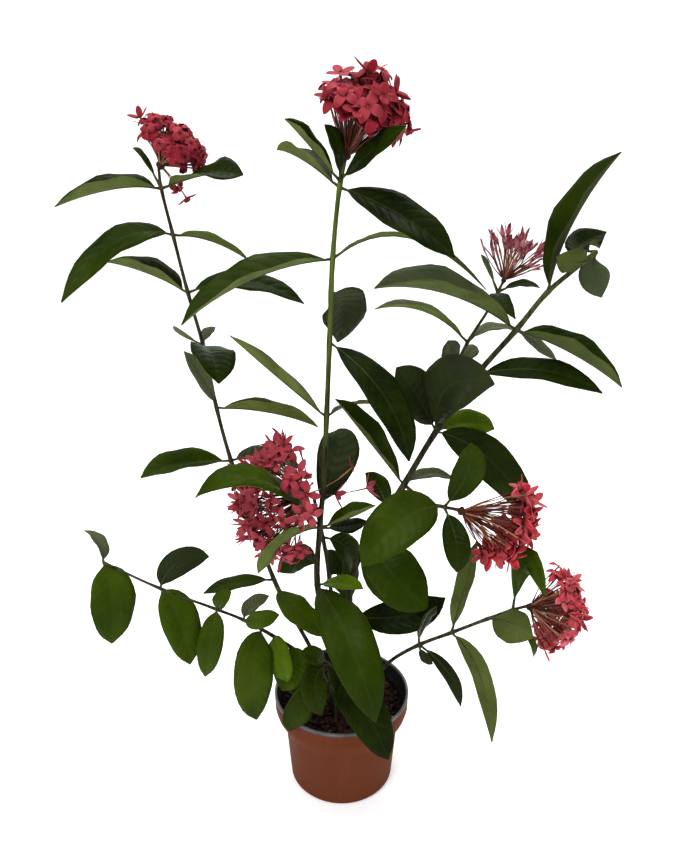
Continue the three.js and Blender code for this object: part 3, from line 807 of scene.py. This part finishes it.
rightStem = {
    "barkTo": 430,
    "fresh": 0.08,
    "freshestAndSheen": {
        2: 0, 3: -0.65, 4: -0.5, 5: 0.05, 6: -1, 7: 0.03, 8: -0.12, 9: -0.18,
        10: 0.6, 12: 0.16, 13: -0.6, 14: 0.2, 15: 0,
    },
    "pale": 0.56,
    "palest": {0: 0.12, 1: 0.42},
    "points": [
        [18, 4, 62], [18, 4, 80], [17, 4, 96], [12, 5, 140], [11, 10, 227], [60, 4, 328],
        [88, 0, 383], [122, -2, 437], [155, -4, 479], [179, -6, 512], [199, -8, 531],
        [216, -12, 547],
    ],
    "radii": [3.7, 1.9],
    "leaves": [
        [9, [191, -22, 570], [219, -36, 624], 36, [-0.9, -0.1, 0.3], 38],
        [10.6, [195, -26, 539], [177, -30, 544], 26, [-0.4, 0.7, 0.6], 5],
        [11, [211, 12, 550], [235, 22, 562], 30, [-0.3, -0.8, 0.5]],
        [11, [219, -2, 529], [226, -8, 508], 26, [-0.4, -0.8, 0.4]],
        [8, [88, -34, 513], [26, -52, 520], 37, [0.4, -0.2, 0.9], 43],
        [8, [201, -14, 460], [245, -28, 432], 35, [0.4, -0.2, 0.9], 43],
        [8, [182, 22, 461], [204, 32, 445], 12, [0.7, -0.7, 0.2], 8],
        [7, [174, -22, 446], [227, -32, 428], 27, [-0.1, -0.6, 0.8], 13],
        [6, [67, -14, 422], [48, -18, 448], 40, [0.6, -0.8, 0.1], 8],
        [6, [93, -30, 433], [129, -48, 440], 52, [-0.8, -0.6, 0.1], 15],
        [6, [123, 30, 383], [152, 42, 372], 26, [0, -0.8, 0.7]],
        [6, [144, 20, 348], [193, 24, 284], 40, [0.3, -0.9, 0.1], 8],
        [5, [24, -12, 378], [-6, -22, 420], 30, [0.8, -0.3, 0.5], 40],
        [5, [85, 20, 333], [113, 30, 323], 16, [0, -0.4, 1]],
        [4.4, [48, -24, 248], [82, -40, 219], 55, [0, -0.7, 0.7], 8],
        [3.5, [61, -4, 189], [103, -8, 212], 36, [0, -0.9, 0.5]],
        [4.7, [38, 30, 313], [24, 38, 327], 24, [0.1, -0.6, 0.8], 8],
    ],
}

rightBranch = {
    "fresh": 0.2,
    "freshestAndSheen": {0: -1, 1: -1, 2: -0.45, 3: -0.8, 4: -0.1, 5: -0.6, 6: 0},
    "pale": 0.95,
    "points": [
        [88, 0, 383], [107, 20, 440], [117, 22, 463], [135, 26, 492], [147, 30, 515],
    ],
    "radii": [1.6, 1.2],
    "leaves": [
        [2, [75, 8, 493], [29, -4, 497], 15, [0.4, -0.1, 0.9], 42],
        [2, [139, 30, 475], [166, 36, 471], 16, [0, -0.3, 1]],
        [1, [100, 10, 456], [95, -2, 469], 20, [0.4, -0.8, -0.4], 7],
        [1, [121, 32, 451], [130, 40, 455], 14, [0.2, -0.7, 0.7], 8],
        [3.7, [162, 24, 516], [180, 22, 513], 12, [0, -0.5, 1]],
        [3.7, [135, 40, 531], [129, 44, 541], 6, [0, -0.5, 1]],
        [3.6, [139, 0, 507], [151, -14, 490], 16, [-0.1, -0.4, 0.9], 8],
    ],
    "head": {
        "name": "bloom_young", "skin": "rose", "florets": 56, "buds": 34, "rosy": 0.4,
        "forms": (0, 0, 0, 1, 0), "tube": 0.85, "knot": 2.6, "shortest": 0.72,
        "axis": [0.3, -0.1, 0.95], "neck": 4, "reach": 37, "spread": 54,
        "size": 10.5, "seed": 7,
    },
}

rightTwig = {
    "fresh": 0.2,
    "freshestAndSheen": {1: 0.14, 2: 0.08},
    "pale": 0.7,
    "points": [
        [60, 4, 328], [78, -23, 322], [92, -42, 325], [98, -50, 327],
    ],
    "radii": [1.8, 1.5],
    "leaves": [
        [1.9, [52, -74, 327], [17, -88, 290], 46, [-0.1, -0.9, 0.7]],
        [2, [107, -62, 364], [109, -60, 392], 28, [0, -1, -0.1]],
        [2, [100, -66, 304], [101, -72, 276], 24, [0, -1, -0.1]],
    ],
    "head": {
        "name": "bloom_right", "skin": "scarlet", "florets": 66, "buds": 2, "rosy": 0.15,
        "forms": (4, 4, 3, 0, 1), "tube": 1.0,
        "axis": [0.94, 0.03, -0.32], "neck": 9, "reach": 64, "spread": 50,
        "flat": 0.1, "depth": 0.35, "size": 12, "seed": 13,
    },
}

lowRightStem = {
    "barkTo": 200,
    "fresh": 0.25,
    "freshestAndSheen": {0: 0, 1: -0.1, 6: 0.4, 7: -0.3},
    "pale": 0.54,
    "points": [
        [28, -16, 62], [28, -16, 80], [29, -16, 94], [34, -17, 122], [48, -20, 146],
        [76, -30, 173], [106, -35, 190], [139, -38, 207], [162, -41, 219], [171, -42, 222.5],
    ],
    "radii": [2.2, 1.4],
    "leaves": [
        [5, [78, -36, 202], [90, -40, 222], 20, [0.7, -0.6, 0.3]],
        [5, [104, -42, 149], [117, -46, 114], 14, [0.3, -0.8, 0.5], 8],
        [6, [117, -30, 236], [128, -22, 281], 22, [-0.3, 0.8, 0.3]],
        [6, [134, -46, 150], [150, -48, 73], 21, [0.5, 0.8, -0.2]],
        [7, [154, -62, 219], [174, -72, 209], 36, [0, 0.6, -0.8]],
        [8, [177, -58, 197], [182, -52, 175], 8, [0.4, -0.8, 0.4], 8],
        [8, [167, -54, 278], [183, -66, 247], 26, [-0.8, -0.5, 0.2], 8],
        [5, [80, -38, 165], [88, -44, 161], 12, [0.4, -0.4, 0.8], 8],
    ],
    "head": {
        "name": "bloom_low_right", "skin": "scarlet", "florets": 76, "buds": 2, "rosy": 0.35,
        "forms": (4, 4, 3, 1, 1), "tube": 0.9, "knot": 3.5, "slim": 0.78,
        "axis": [0.99, -0.02, -0.08], "neck": 6, "reach": 46, "spread": 70,
        "depth": 0.5, "size": 11, "seed": 17,
    },
}

lowLeftStem = {
    "barkTo": 300,
    "fresh": 0.35,
    "freshestAndSheen": {0: -0.7, 2: -0.12, 4: 0.28, 5: 0.28, 6: -0.65, 8: 0.3, 9: 0.65, 10: 0.5},
    "pale": 0.8,
    "points": [
        [-6, -18, 62], [-6, -18, 80], [-8, -18, 95], [-22, -21, 138], [-60, -30, 178],
        [-94, -38, 206], [-118, -42, 220], [-169, -45, 244], [-219, -45, 271],
    ],
    "radii": [2, 1.1],
    "petiole": 3,
    "taper": 0.5,
    "leaves": [
        [8, [-225, -38, 285], [-241, -26, 294], 16, [0.7, -0.1, 0.7], 35],
        [8, [-212, -52, 238], [-216, -54, 191], 42, [0.6, -0.8, 0.1], 8],
        [7, [-152, -42, 269], [-124, -34, 271], 25, [0.3, -1, 0.4]],
        [7, [-151, -52, 215], [-144, -54, 168], 36, [0.5, -0.8, 0.3], 8],
        [6, [-122, -56, 196], [-131, -52, 153], 24, [0, -1, 0.2]],
        [6, [-112, -52, 236], [-101, -56, 247], 15, [0, -0.8, 0.5]],
        [5, [-87, -28, 216], [-71, -18, 220], 16, [-0.1, -0.5, 0.9], 8],
        [5, [-76, -54, 216], [-57, -64, 228], 18, [-0.7, -0.5, 0.6], 8],
        [4.5, [-83, -64, 169], [-82, -60, 110], 38, [0.3, -0.9, 0.3], 8],
        [4.2, [-60, -52, 177], [-52, -56, 150], 26, [-0.3, -0.9, 0.4]],
        [3.8, [-49, -40, 157], [-58, -47, 133], 34, [0, -1, 0.4]],
    ],
}

basalShoot = {
    "barkTo": 120,
    "fresh": 0.1,
    "freshestAndSheen": {0: 0.05, 1: 0.14, 2: 0.12, 3: 0.2, 4: 0},
    "pale": 0.6,
    "points": [
        [-6, -34, 62], [-6, -34, 80], [-6, -34, 96], [-9, -35, 130], [-14, -38, 160],
    ],
    "radii": [2, 1.2],
    "taper": 0.5,
    "leaves": [
        [3.4, [19, -76, 137], [43, -92, 92], 38, [0.3, -1, 0.5]],
        [3.85, [-25, -60, 154], [-19, -66, 120], 30, [0.4, -0.7, 0.5], 6],
        [3.5, [-37, -56, 127], [-50, -62, 98], 30, [0.3, -0.9, 0.2], 8],
        [3.9, [-24, -50, 174], [-39, -54, 180], 18, [0.7, -0.5, 0.5], 8],
        [3.95, [-4, -50, 152], [2, -54, 125], 22, [0.5, -0.6, 0.6], 8],
    ],
}

stems = {
    "left_stem": [leftStem],
    "centre_stem": [centreStem],
    "middle_stem": [middleStem],
    "right_stem": [rightStem, rightBranch, rightTwig],
    "low_right_stem": [lowRightStem],
    "low_left_stem": [lowLeftStem],
    "basal_shoot": [basalShoot],
}
leafTrees = []  # the blades, for the florets to keep clear of


def bladeOutline(u, taper):
    # half the width from base to tip, as a share of its greatest: a smaller taper makes both ends blunter
    if u <= 0 or u >= 1:
        return 0
    body = (4 * u * (1 - u)) ** taper
    foot, tip = leafShape["footSlope"] * u, leafShape["tipSlope"] * (1 - u) / taper
    return (body**-4 + foot**-4 + tip**-4) ** -0.25


def alongBlade(row):
    crowd = leafShape["crowd"]
    return (1 - crowd) * row + crowd * (0.5 - 0.5 * math.cos(math.pi * row))


def bladeRise(k, u, fold, phase):
    # height over the midrib at k, from -1 to 1 across the blade, as a share of the half width
    f = leafShape
    outwards = abs(k)
    rounded = math.hypot(outwards, f["roundedFold"]) - f["roundedFold"] * f["foldSink"]
    rise = math.tan(math.radians(fold)) * rounded
    rise += f["arch"] * math.sin(math.pi * outwards) * math.sin(math.pi * u)
    sway = math.sin(2 * math.pi * (f["waves"] * u + phase + (f["waveLag"] if k > 0 else 0)))
    return rise + f["wave"] * 2 * sway * outwards**2 * math.sin(math.pi * u)


def unfold(part, row):
    # the midrib as a curve from the stem, with all that shapes the blade on it
    at, mid, tip, width, face, *more = row
    base, mid, tip = alongRoute(part["points"], at), Vector(mid), Vector(tip)
    rib = (base, mid * 2 - base * 0.5 - tip * 0.5, tip)
    steps = 20
    length = sum((bend(*rib, (i + 1) / steps) - bend(*rib, i / steps)).length for i in range(steps))
    return {
        "rib": rib,
        "bare": min(leafShape["mostBare"], part.get("petiole", leafShape["petiole"]) / length),
        "width": width,
        "face": Vector(face),
        "fold": more[0] if more else leafShape["fold"],
        "twist": more[1] if len(more) > 1 else 0,
        "taper": part.get("taper", leafShape["taper"]),
    }


def bladeAt(blade, u):
    # the point on the midrib, the blade's normal and side there, and its half width
    t = blade["bare"] + (1 - blade["bare"]) * u
    before, after = bend(*blade["rib"], t - 0.01), bend(*blade["rib"], min(t + 0.01, 1))
    direction = (after - before).normalized()
    turned = Matrix.Rotation(math.radians(blade["twist"]) * (t - 0.5), 3, direction) @ blade["face"]
    half = max(bladeOutline(u, blade["taper"]) * blade["width"] / 2, leafShape["least"])
    return bend(*blade["rib"], t), *squareTo(direction, turned), half


def growBlade(target, blade, tint, pale, phase):
    bm = newShape("tint", "pale", uv="blade")
    bladeMap = bm.loops.layers.uv["blade"]
    tintLayer, paleLayer = bm.verts.layers.float["tint"], bm.verts.layers.float["pale"]
    size = {"x_segments": leafShape["across"], "y_segments": leafShape["along"], "size": 0.5}
    bmesh.ops.create_grid(bm, calc_uvs=True, **size)
    places = {}
    for vert in bm.verts:
        k = vert.co.x * 2
        u = alongBlade(vert.co.y + 0.5)
        places[vert.index] = (0.5 + k / 2, u)
        point, normal, side, half = bladeAt(blade, u)
        vert.co = point + side * (k * half) + normal * (bladeRise(k, u, blade["fold"], phase) * half)
        vert[tintLayer], vert[paleLayer] = tint, pale
    for face in bm.faces:
        for corner in face.loops:
            corner[bladeMap].uv = places[corner.vert.index]
    joinInto(target, bm)


def growMidrib(target, blade):
    # from the stem through the petiole to the tip, just under the blade
    f = leafShape
    centres = [bend(*blade["rib"], 0), bend(*blade["rib"], blade["bare"] / 2)]
    radii = list(f["petioleRadii"])
    thick, thin = f["ribRadii"]
    for row in range(f["along"]):
        u = alongBlade(row / f["along"])
        point, normal, _, half = bladeAt(blade, u)
        valley = bladeRise(0, u, blade["fold"], 0) * half
        centres.append(point - normal * (f["ribSink"] * (1 - u) - valley))
        radii.append(thick + (thin - thick) * u**0.5)
    growStalk(target, centres, radii, f["ribSides"], slotNumber=1)


def growStem(target, part, barkTo):
    s = stemShape
    points, (thick, thin) = part["points"], part["radii"]
    last = len(points) - 1
    steps = last * s["steps"]
    places = [last * i / steps for i in range(steps + 1)]
    radii = []
    for place in places:
        swell = max(math.exp(-(((place - leaf[0]) * s["swellEnds"]) ** 2)) for leaf in part["leaves"])
        radii.append(thick + (thin - thick) * place / last + s["swell"] * swell)
    verts = growStalk(target, [alongRoute(points, place) for place in places], radii, s["sides"])
    greenLayer = target.verts.layers.float["green"]
    for vert in verts:
        vert[greenLayer] = (vert.co.z - barkTo) / s["greening"]


def growLeafyStem(name, parts):
    # the wood with its petioles and raised midribs is one piece, the blades are another
    wood, blades = newShape("green"), newShape("tint", "pale", uv="blade")
    for part in parts:
        rand = random.Random(len(part["points"]) * 7 + len(part["leaves"]))
        growStem(wood, part, parts[0]["barkTo"])
        for number, row in enumerate(part["leaves"]):
            blade = unfold(part, row)
            # a freshest below nought paints a silvery sheen on the top, in place of gloss
            fresh = part.get("freshestAndSheen", {}).get(number, part["fresh"])
            tint = fresh + rand.uniform(-leafShape["tintSpread"], leafShape["tintSpread"])
            pale = part.get("palest", {}).get(number, part["pale"])
            growBlade(blades, blade, tint, pale, rand.random())
            growMidrib(wood, blade)
    leafTrees.append(BVHTree.FromBMesh(blades))
    finishPiece(name + "_wood", wood, [barkSkin, petioleSkin], [name])
    leaves = finishPiece(name + "_leaves", blades, [upperSkin, lowerSkin], [name])
    body = thicken(leaves, leafShape["thickness"])
    body.material_offset = body.material_offset_rim = 1


for name, parts in stems.items():
    growLeafyStem(name, parts)
    print("grown:", name)


headFinish = {
    "crimsonDeep": (0.125, 0.004, 0.007),
    "crimson": (0.29, 0.015, 0.027),
    "rose": (0.48, 0.085, 0.11),
    "scarletDeep": (0.22, 0.006, 0.010),
    "scarlet": (0.64, 0.036, 0.058),
    "paleScarlet": (0.78, 0.22, 0.25),
    "budDeep": (0.085, 0.008, 0.012),
    "bud": (0.42, 0.075, 0.10),
    "paleRose": (0.70, 0.32, 0.35),
    "tubeDark": (0.030, 0.007, 0.004),
    "tubeRed": (0.12, 0.020, 0.014),
    "tubeTan": (0.36, 0.16, 0.085),
    "knot": (0.016, 0.008, 0.005),
    "knotLight": (0.050, 0.024, 0.012),
}


def petalSkinOf(name, tones, darkTips):
    deep, mid, light = (headFinish[tone] for tone in tones)
    material, tree = newMaterial(name, Roughness=0.6, Specular_IOR_Level=0.06)
    across, _, outwards = readMap(tree, "petal")
    tip = readValue(tree, "tip")
    base = mottled(spots(tree, scale=90, detail=3), deep, mid, contrast=2.4)
    varied = blendColour(times(readValue(tree, "shade"), 0.75), base, light)
    lines = calc("SINE", times(across, 42.0))
    faint = scaled(lines, 0.06, times(ramp(outwards, 0.6, 1.0), 0.35), clamp=True)
    # painted shade: each petal darkens towards its foot, as if the floret's throat were in shade
    paintedThroatShade = times(oneMinus(ramp(tip, 0.0, 0.4)), 0.7)
    # dark joins that painted shade with the darker petal tips
    dark = calc("MAXIMUM", paintedThroatShade, times(ramp(tip, 0.5, 0.9), darkTips))
    colour = blendColour(dark, blendColour(faint, varied, light), deep)
    return paint(material, colour, lines, strength=0.25, depth=0.0003)


def tubeSkin():
    f = headFinish
    material, tree = newMaterial("tubeSkin", Roughness=0.5, Specular_IOR_Level=0.15)
    patches = spots(tree, scale=140, detail=3)
    red = mottled(patches, f["tubeDark"], f["tubeRed"], contrast=3.0)
    colour = blendColour(ramp(readValue(tree, "shade"), 0.45, 0.95), red, f["tubeTan"])
    return paint(material, colour, patches, strength=0.2, depth=0.0003)


def knotSkin():
    patches = {"contrast": 3.0, "scale": 260, "detail": 4, "strength": 0.6, "depth": 0.001}
    look = {"Roughness": 0.7, "Specular_IOR_Level": 0.1}
    return mottledSkin("knotSkin", headFinish["knot"], headFinish["knotLight"], **patches, **look)


petalSkins = {
    "crimson": petalSkinOf("petalCrimson", ("crimsonDeep", "crimson", "rose"), darkTips=0.15),
    "scarlet": petalSkinOf("petalScarlet", ("scarletDeep", "scarlet", "paleScarlet"), darkTips=0.1),
    "rose": petalSkinOf("petalRose", ("budDeep", "bud", "paleRose"), darkTips=0.85),
}
stalkSkins = [tubeSkin(), knotSkin()]


floretForms = {  # heights of a petal at the foot, the thirds and the tip, half widths there, and its reach
    "flat": ((0, 0.02, 0.08, 0.12), (0.12, 0.36, 0.36, 0.12), 1),
    "reflexed": ((0, 0.07, -0.02, -0.30), (0.12, 0.38, 0.37, 0.12), 1),
    "cupped": ((0, 0.16, 0.38, 0.60), (0.12, 0.33, 0.31, 0.09), 1),
    "opening": ((0, 0.32, 0.70, 1.05), (0.10, 0.17, 0.14, 0.03), 0.42),
    "rolled": ((0, 0.10, -0.14, -0.52), (0.12, 0.38, 0.38, 0.18), 0.72),
}
headShape = {
    "petalStart": 0.06,  # how far a petal's foot is from the middle, as a share of its length
    "petalRim": 0.05,  # how far its margins turn up
    "petalThickness": 0.3,
    "sizes": (0.88, 1.1),  # least and greatest share of a head's floret size
    "lean": 0.35,  # how far florets turn from their tubes' own way
    "toneSpread": 0.3,
    "budFoot": 0.04,  # half width of a bud where it leaves its tube
    "budRings": ((0.3, 0.062), (0.6, 0.085), (0.85, 0.070), (1.0, 0.018)),  # heights, half widths
    "budSize": 1.15,
    "sides": {"neck": 10, "tube": 5, "style": 3, "bud": 8},
    "neckSink": 2.5,  # how deep the neck starts in the wood
    "neckStart": 0.5,  # and how far past the wood it starts to bend
    "neckStraight": 0.3,  # share of its length before the bend
    "neckElbow": 0.4,
    "neckSteps": 6,
    "neckRadius": 1.7,  # at the knot
    "knot": 4.0,  # radius of the knot that all the tubes leave
    "knotBumps": 0.35,
    "knotLumps": 0.35,  # how close together they are
    "shortest": 0.86,  # least and greatest share of a head's reach
    "longest": 1.06,
    "uneven": (0.05, 0.5),  # how far tubes stray from an even cap, along it and round it
    "tubeStart": 3.2,
    "tubeRadii": (0.95, 0.55, 0.5, 0.9),
    "tubePlaces": (0, 0.3, 0.65, 1),
    "sag": (0.02, 0.09),  # how far a tube bends, as a share of its length
    "styleLength": 4.5,  # of the thread that stands out of an open floret
    "styleRadii": (0.35, 0.22),
    "shares": (1, 0.82, 0.64, 0.46),  # lengths to try where a leaf is in the way
    "clearPast": 1,  # what a floret keeps free past its tube, and round itself by its size
    "clearRound": 0.5,
}


def makeFloret(name, slim):
    # four petals in a cross of radius 1, slim times as broad as the form says
    s = headShape
    rise, halfWidths, reach = floretForms[name]
    rows = len(rise) - 1
    bm = newShape("tip", uv="petal")
    for quarter in range(4):
        petal = newShape("tip", uv="petal")
        tipLayer = petal.verts.layers.float["tip"]
        bmesh.ops.create_grid(petal, x_segments=2, y_segments=rows, size=0.5, calc_uvs=True)
        for vert in petal.verts:
            k, row = vert.co.x * 2, round((vert.co.y + 0.5) * rows)
            out = s["petalStart"] + (reach - s["petalStart"]) * row / rows
            height = rise[row] + (s["petalRim"] * abs(k) if row else 0)
            vert.co = (k * halfWidths[row] * slim, out, height)
            vert[tipLayer] = row / rows
        turn = Matrix.Rotation(quarter * math.pi / 2, 3, "Z")
        bmesh.ops.rotate(petal, verts=petal.verts, cent=(0, 0, 0), matrix=turn)
        joinInto(bm, petal)
    return meshFrom(bm, name)


def makeBud():
    # a closed bud, 1 long: rings that swell and close to a point
    bm = newShape("tip", uv="petal")
    tipLayer = bm.verts.layers.float["tip"]
    height, size, sides = 0.0, headShape["budFoot"], headShape["sides"]["bud"]
    bmesh.ops.create_circle(bm, cap_ends=True, radius=size, segments=sides, calc_uvs=True)
    edges = bm.edges[:]
    for nextHeight, nextSize in headShape["budRings"]:
        verts, edges = extrudeRow(bm, edges)
        bmesh.ops.scale(bm, vec=(nextSize / size, nextSize / size, 1), verts=verts)
        bmesh.ops.translate(bm, vec=(0, 0, nextHeight - height), verts=verts)
        for vert in verts:
            vert[tipLayer] = nextHeight
        height, size = nextHeight, nextSize
    bmesh.ops.contextual_create(bm, geom=edges)
    bmesh.ops.recalc_face_normals(bm, faces=bm.faces)
    return meshFrom(bm, "bud")


budShape = makeBud()


def clearReach(root, out, reach, size):
    # the longest of a few lengths that keeps a floret off the blades, or nought
    s = headShape
    for share in s["shares"]:
        top = root + out * reach * share
        blocked = any(tree.ray_cast(root, out, reach * share + s["clearPast"])[0] for tree in leafTrees)
        if not blocked and not any(tree.find_nearest(top, size * s["clearRound"])[0] for tree in leafTrees):
            return reach * share
    return 0


def waysOut(head, axis, rand):
    # which way each tube leaves the knot, how far it reaches, and whether it ends in a bud: an even cap
    s = headShape
    normal, side = squareTo(axis, Vector((0.1, 0.9, 0.3)))
    edge = math.cos(math.radians(head["spread"]))
    count = head["florets"]
    alongCap, roundCap = s["uneven"]
    ways = []
    for i in range(count):
        h = 1 - (i + 0.5) / count * (1 - edge) - (rand.random() - 0.5) * alongCap
        a = i * math.pi * (3 - math.sqrt(5)) + (rand.random() - 0.5) * roundCap
        r = math.sqrt(max(0, 1 - h * h))
        fan = normal * (head.get("depth", 1) * r * math.cos(a)) + side * (r * math.sin(a))
        flattened = 1 - head.get("flat", 0) * (1 - h) / (1 - edge)
        reach = head["reach"] * rand.uniform(head.get("shortest", s["shortest"]), s["longest"]) * flattened
        ways.append(((axis * h + fan).normalized(), reach, i >= count - head["buds"]))
    strays = head.get("strays", [])
    return ways + [(Vector(towards).normalized(), reach, False) for towards, reach in strays]


def growKnot(target, stem, axis):
    # a neck that bends from the stem's end to the head's axis, and a lumpy knot on it
    s, head, points = headShape, stem["head"], stem["points"]
    last = len(points) - 1
    up = (alongRoute(points, last) - alongRoute(points, last - 0.002)).normalized()
    start = alongRoute(points, last) + up * s["neckStart"]
    straight, turned = head["neck"] * s["neckStraight"], head["neck"] * (1 - s["neckStraight"])
    knot = start + up * straight + axis * turned
    elbow = start + up * (head["neck"] * s["neckElbow"])
    rings = range(s["neckSteps"] + 1)
    thick = stem["radii"][1]
    neck = [start - up * s["neckSink"]] + [bend(start, elbow, knot, i / s["neckSteps"]) for i in rings]
    radii = [thick + (s["neckRadius"] - thick) * i / s["neckSteps"] for i in (0, *rings)]
    growStalk(target, neck, radii, s["sides"]["neck"], slotNumber=1)
    ball = bmesh.new()
    place = Matrix.Translation(knot)
    bmesh.ops.create_icosphere(ball, subdivisions=2, radius=head.get("knot", s["knot"]), matrix=place)
    for vert in ball.verts:
        vert.co += (vert.co - knot) * s["knotBumps"] * noise.noise(vert.co * s["knotLumps"])
    joinInto(target, ball, 1)
    return knot


def growHead(stem):
    s, head = headShape, stem["head"]
    axis = Vector(head["axis"]).normalized()
    rand = random.Random(head["seed"])
    floretShapes = {form: makeFloret(form, head.get("slim", 1)) for form in floretForms}
    stalks, petals = newShape("shade"), newShape("shade", "tip", uv="petal")
    knot = growKnot(stalks, stem, axis)
    tubeRadii = [r * head.get("tube", 1) for r in s["tubeRadii"]]
    for out, reach, isBud in waysOut(head, axis, rand):
        size = head["size"] * rand.uniform(*s["sizes"])
        root = knot + out * s["tubeStart"]
        reach = clearReach(root, out, reach - s["tubeStart"], size)
        if not reach:
            continue
        top = root + out * reach
        sag = squareTo(out, Vector([rand.uniform(-1, 1) for _ in range(3)]))[0]
        middle = (root + top) / 2 + sag * reach * rand.uniform(*s["sag"])
        tube = [bend(root, middle * 2 - (root + top) / 2, top, t) for t in s["tubePlaces"]]
        writeShade(stalks, growStalk(stalks, tube, tubeRadii, s["sides"]["tube"]), rand.random())
        lean = sag * rand.uniform(-s["lean"], s["lean"])
        facing = ((top - tube[2]).normalized() + lean).normalized()
        spin = Matrix.Rotation(rand.uniform(0, math.pi), 4, "Z")
        tone = head["rosy"] + rand.uniform(-s["toneSpread"], s["toneSpread"])
        if isBud:
            shape, place = budShape, frameAt(top - facing, facing, sag, size * s["budSize"])
        else:
            shape = floretShapes[rand.choices(tuple(floretForms), head["forms"])[0]]
            place = frameAt(top, facing, sag, size)
            style = [top - facing, top + facing * s["styleLength"]]
            growStalk(stalks, style, s["styleRadii"], s["sides"]["style"])
        placeCopy(petals, shape, place @ spin, min(max(tone, 0), 1))

    name, skin = head["name"], head.get("skin", "crimson")
    finishPiece(name + "_stalks", stalks, stalkSkins, [name])
    bloom = finishPiece(name + "_petals", petals, [petalSkins[skin]], [name])
    smooth = bloom.modifiers.new("softer", "SUBSURF")
    smooth.levels = smooth.render_levels = 1
    thicken(bloom, s["petalThickness"])


for parts in stems.values():
    for stem in parts:
        if "head" in stem:
            growHead(stem)
            print("opened:", stem["head"]["name"])


stageLook = {  # places and sizes in metres
    "floor": (0.88, 0.88, 0.88),
    "glow": 0.32,
    "floorSize": 3.0,
    "floorMiddle": (0, -0.4, 0),
    "curveSteps": 8,  # the floor curves up into the wall
    "curveStep": 0.16,
    "curveLag": 0.1,
    "wall": 3,
    "world": (1.0, 1.0, 1.0),
    "worldStrength": 0.32,
    "lights": [  # name, place, what it faces, size, watts
        ("keyLight", (-0.9, -1.3, 1.7), (0, 0, 0.35), 1.0, 26),
        ("fillLight", (1.5, -1.2, 0.9), (0, 0, 0.35), 1.4, 8),
        ("topLight", (0.0, 0.3, 2.4), (0, 0, 0), 2.4, 60),
        ("wallLight", (0.0, 1.2, 2.6), (0, 3.0, 1.0), 2.0, 40),
    ],
}
cameraPlace = {
    "lens": 29.65,
    "sensor": 36,
    "place": (-0.0016, -0.623, 0.581),
    "down": 17.1,  # degrees
}


def makeFloor():
    s = stageLook
    bm = bmesh.new()
    place = Matrix.Translation(s["floorMiddle"])
    bmesh.ops.create_grid(bm, x_segments=1, y_segments=1, size=s["floorSize"], matrix=place)
    back = [e for e in bm.edges if all(v.co.y > 2 for v in e.verts)]
    for turn in range(s["curveSteps"]):
        angle = math.radians(90) * (turn + 1) / s["curveSteps"] - s["curveLag"]
        step = (0, s["curveStep"] * math.cos(angle), s["curveStep"] * math.sin(angle))
        verts, back = extrudeRow(bm, back)
        bmesh.ops.translate(bm, vec=step, verts=verts)
    verts, back = extrudeRow(bm, back)
    bmesh.ops.translate(bm, vec=(0, 0, s["wall"]), verts=verts)
    bmesh.ops.recalc_face_normals(bm, faces=bm.faces)
    mesh = meshFrom(bm, "floor")
    mesh.shade_smooth()
    look = {"Base_Color": s["floor"], "Emission_Color": (1, 1, 1), "Emission_Strength": s["glow"]}
    mesh.materials.append(newMaterial("floorPaper", Roughness=0.9, Specular_IOR_Level=0.2, **look)[0])
    floor = addObject("floor", mesh)


def makeLights():
    s = stageLook
    world = bpy.data.worlds.new("studio")
    world.use_nodes = True
    background = world.node_tree.nodes["Background"]
    plug(s["world"], background.inputs["Color"])
    plug(s["worldStrength"], background.inputs["Strength"])
    bpy.context.scene.world = world
    for name, place, aim, size, watts in s["lights"]:
        lamp = bpy.data.lights.new(name, "AREA")
        lamp.shape, lamp.size, lamp.energy = "DISK", size, watts
        light = addObject(name, lamp)
        light.location = place
        light.rotation_euler = (Vector(aim) - Vector(place)).to_track_quat("-Z", "Y").to_euler()


def makeCamera():
    s = cameraPlace
    lens = bpy.data.cameras.new("camera")
    lens.lens, lens.sensor_width = s["lens"], s["sensor"]
    camera = addObject("camera", lens)
    camera.location = s["place"]
    camera.rotation_euler = (math.radians(90 - s["down"]), 0, 0)
    bpy.context.scene.camera = camera
    bpy.context.scene.view_settings.view_transform = "Standard"


makeFloor()
makeLights()
makeCamera()
print("stage and camera set")
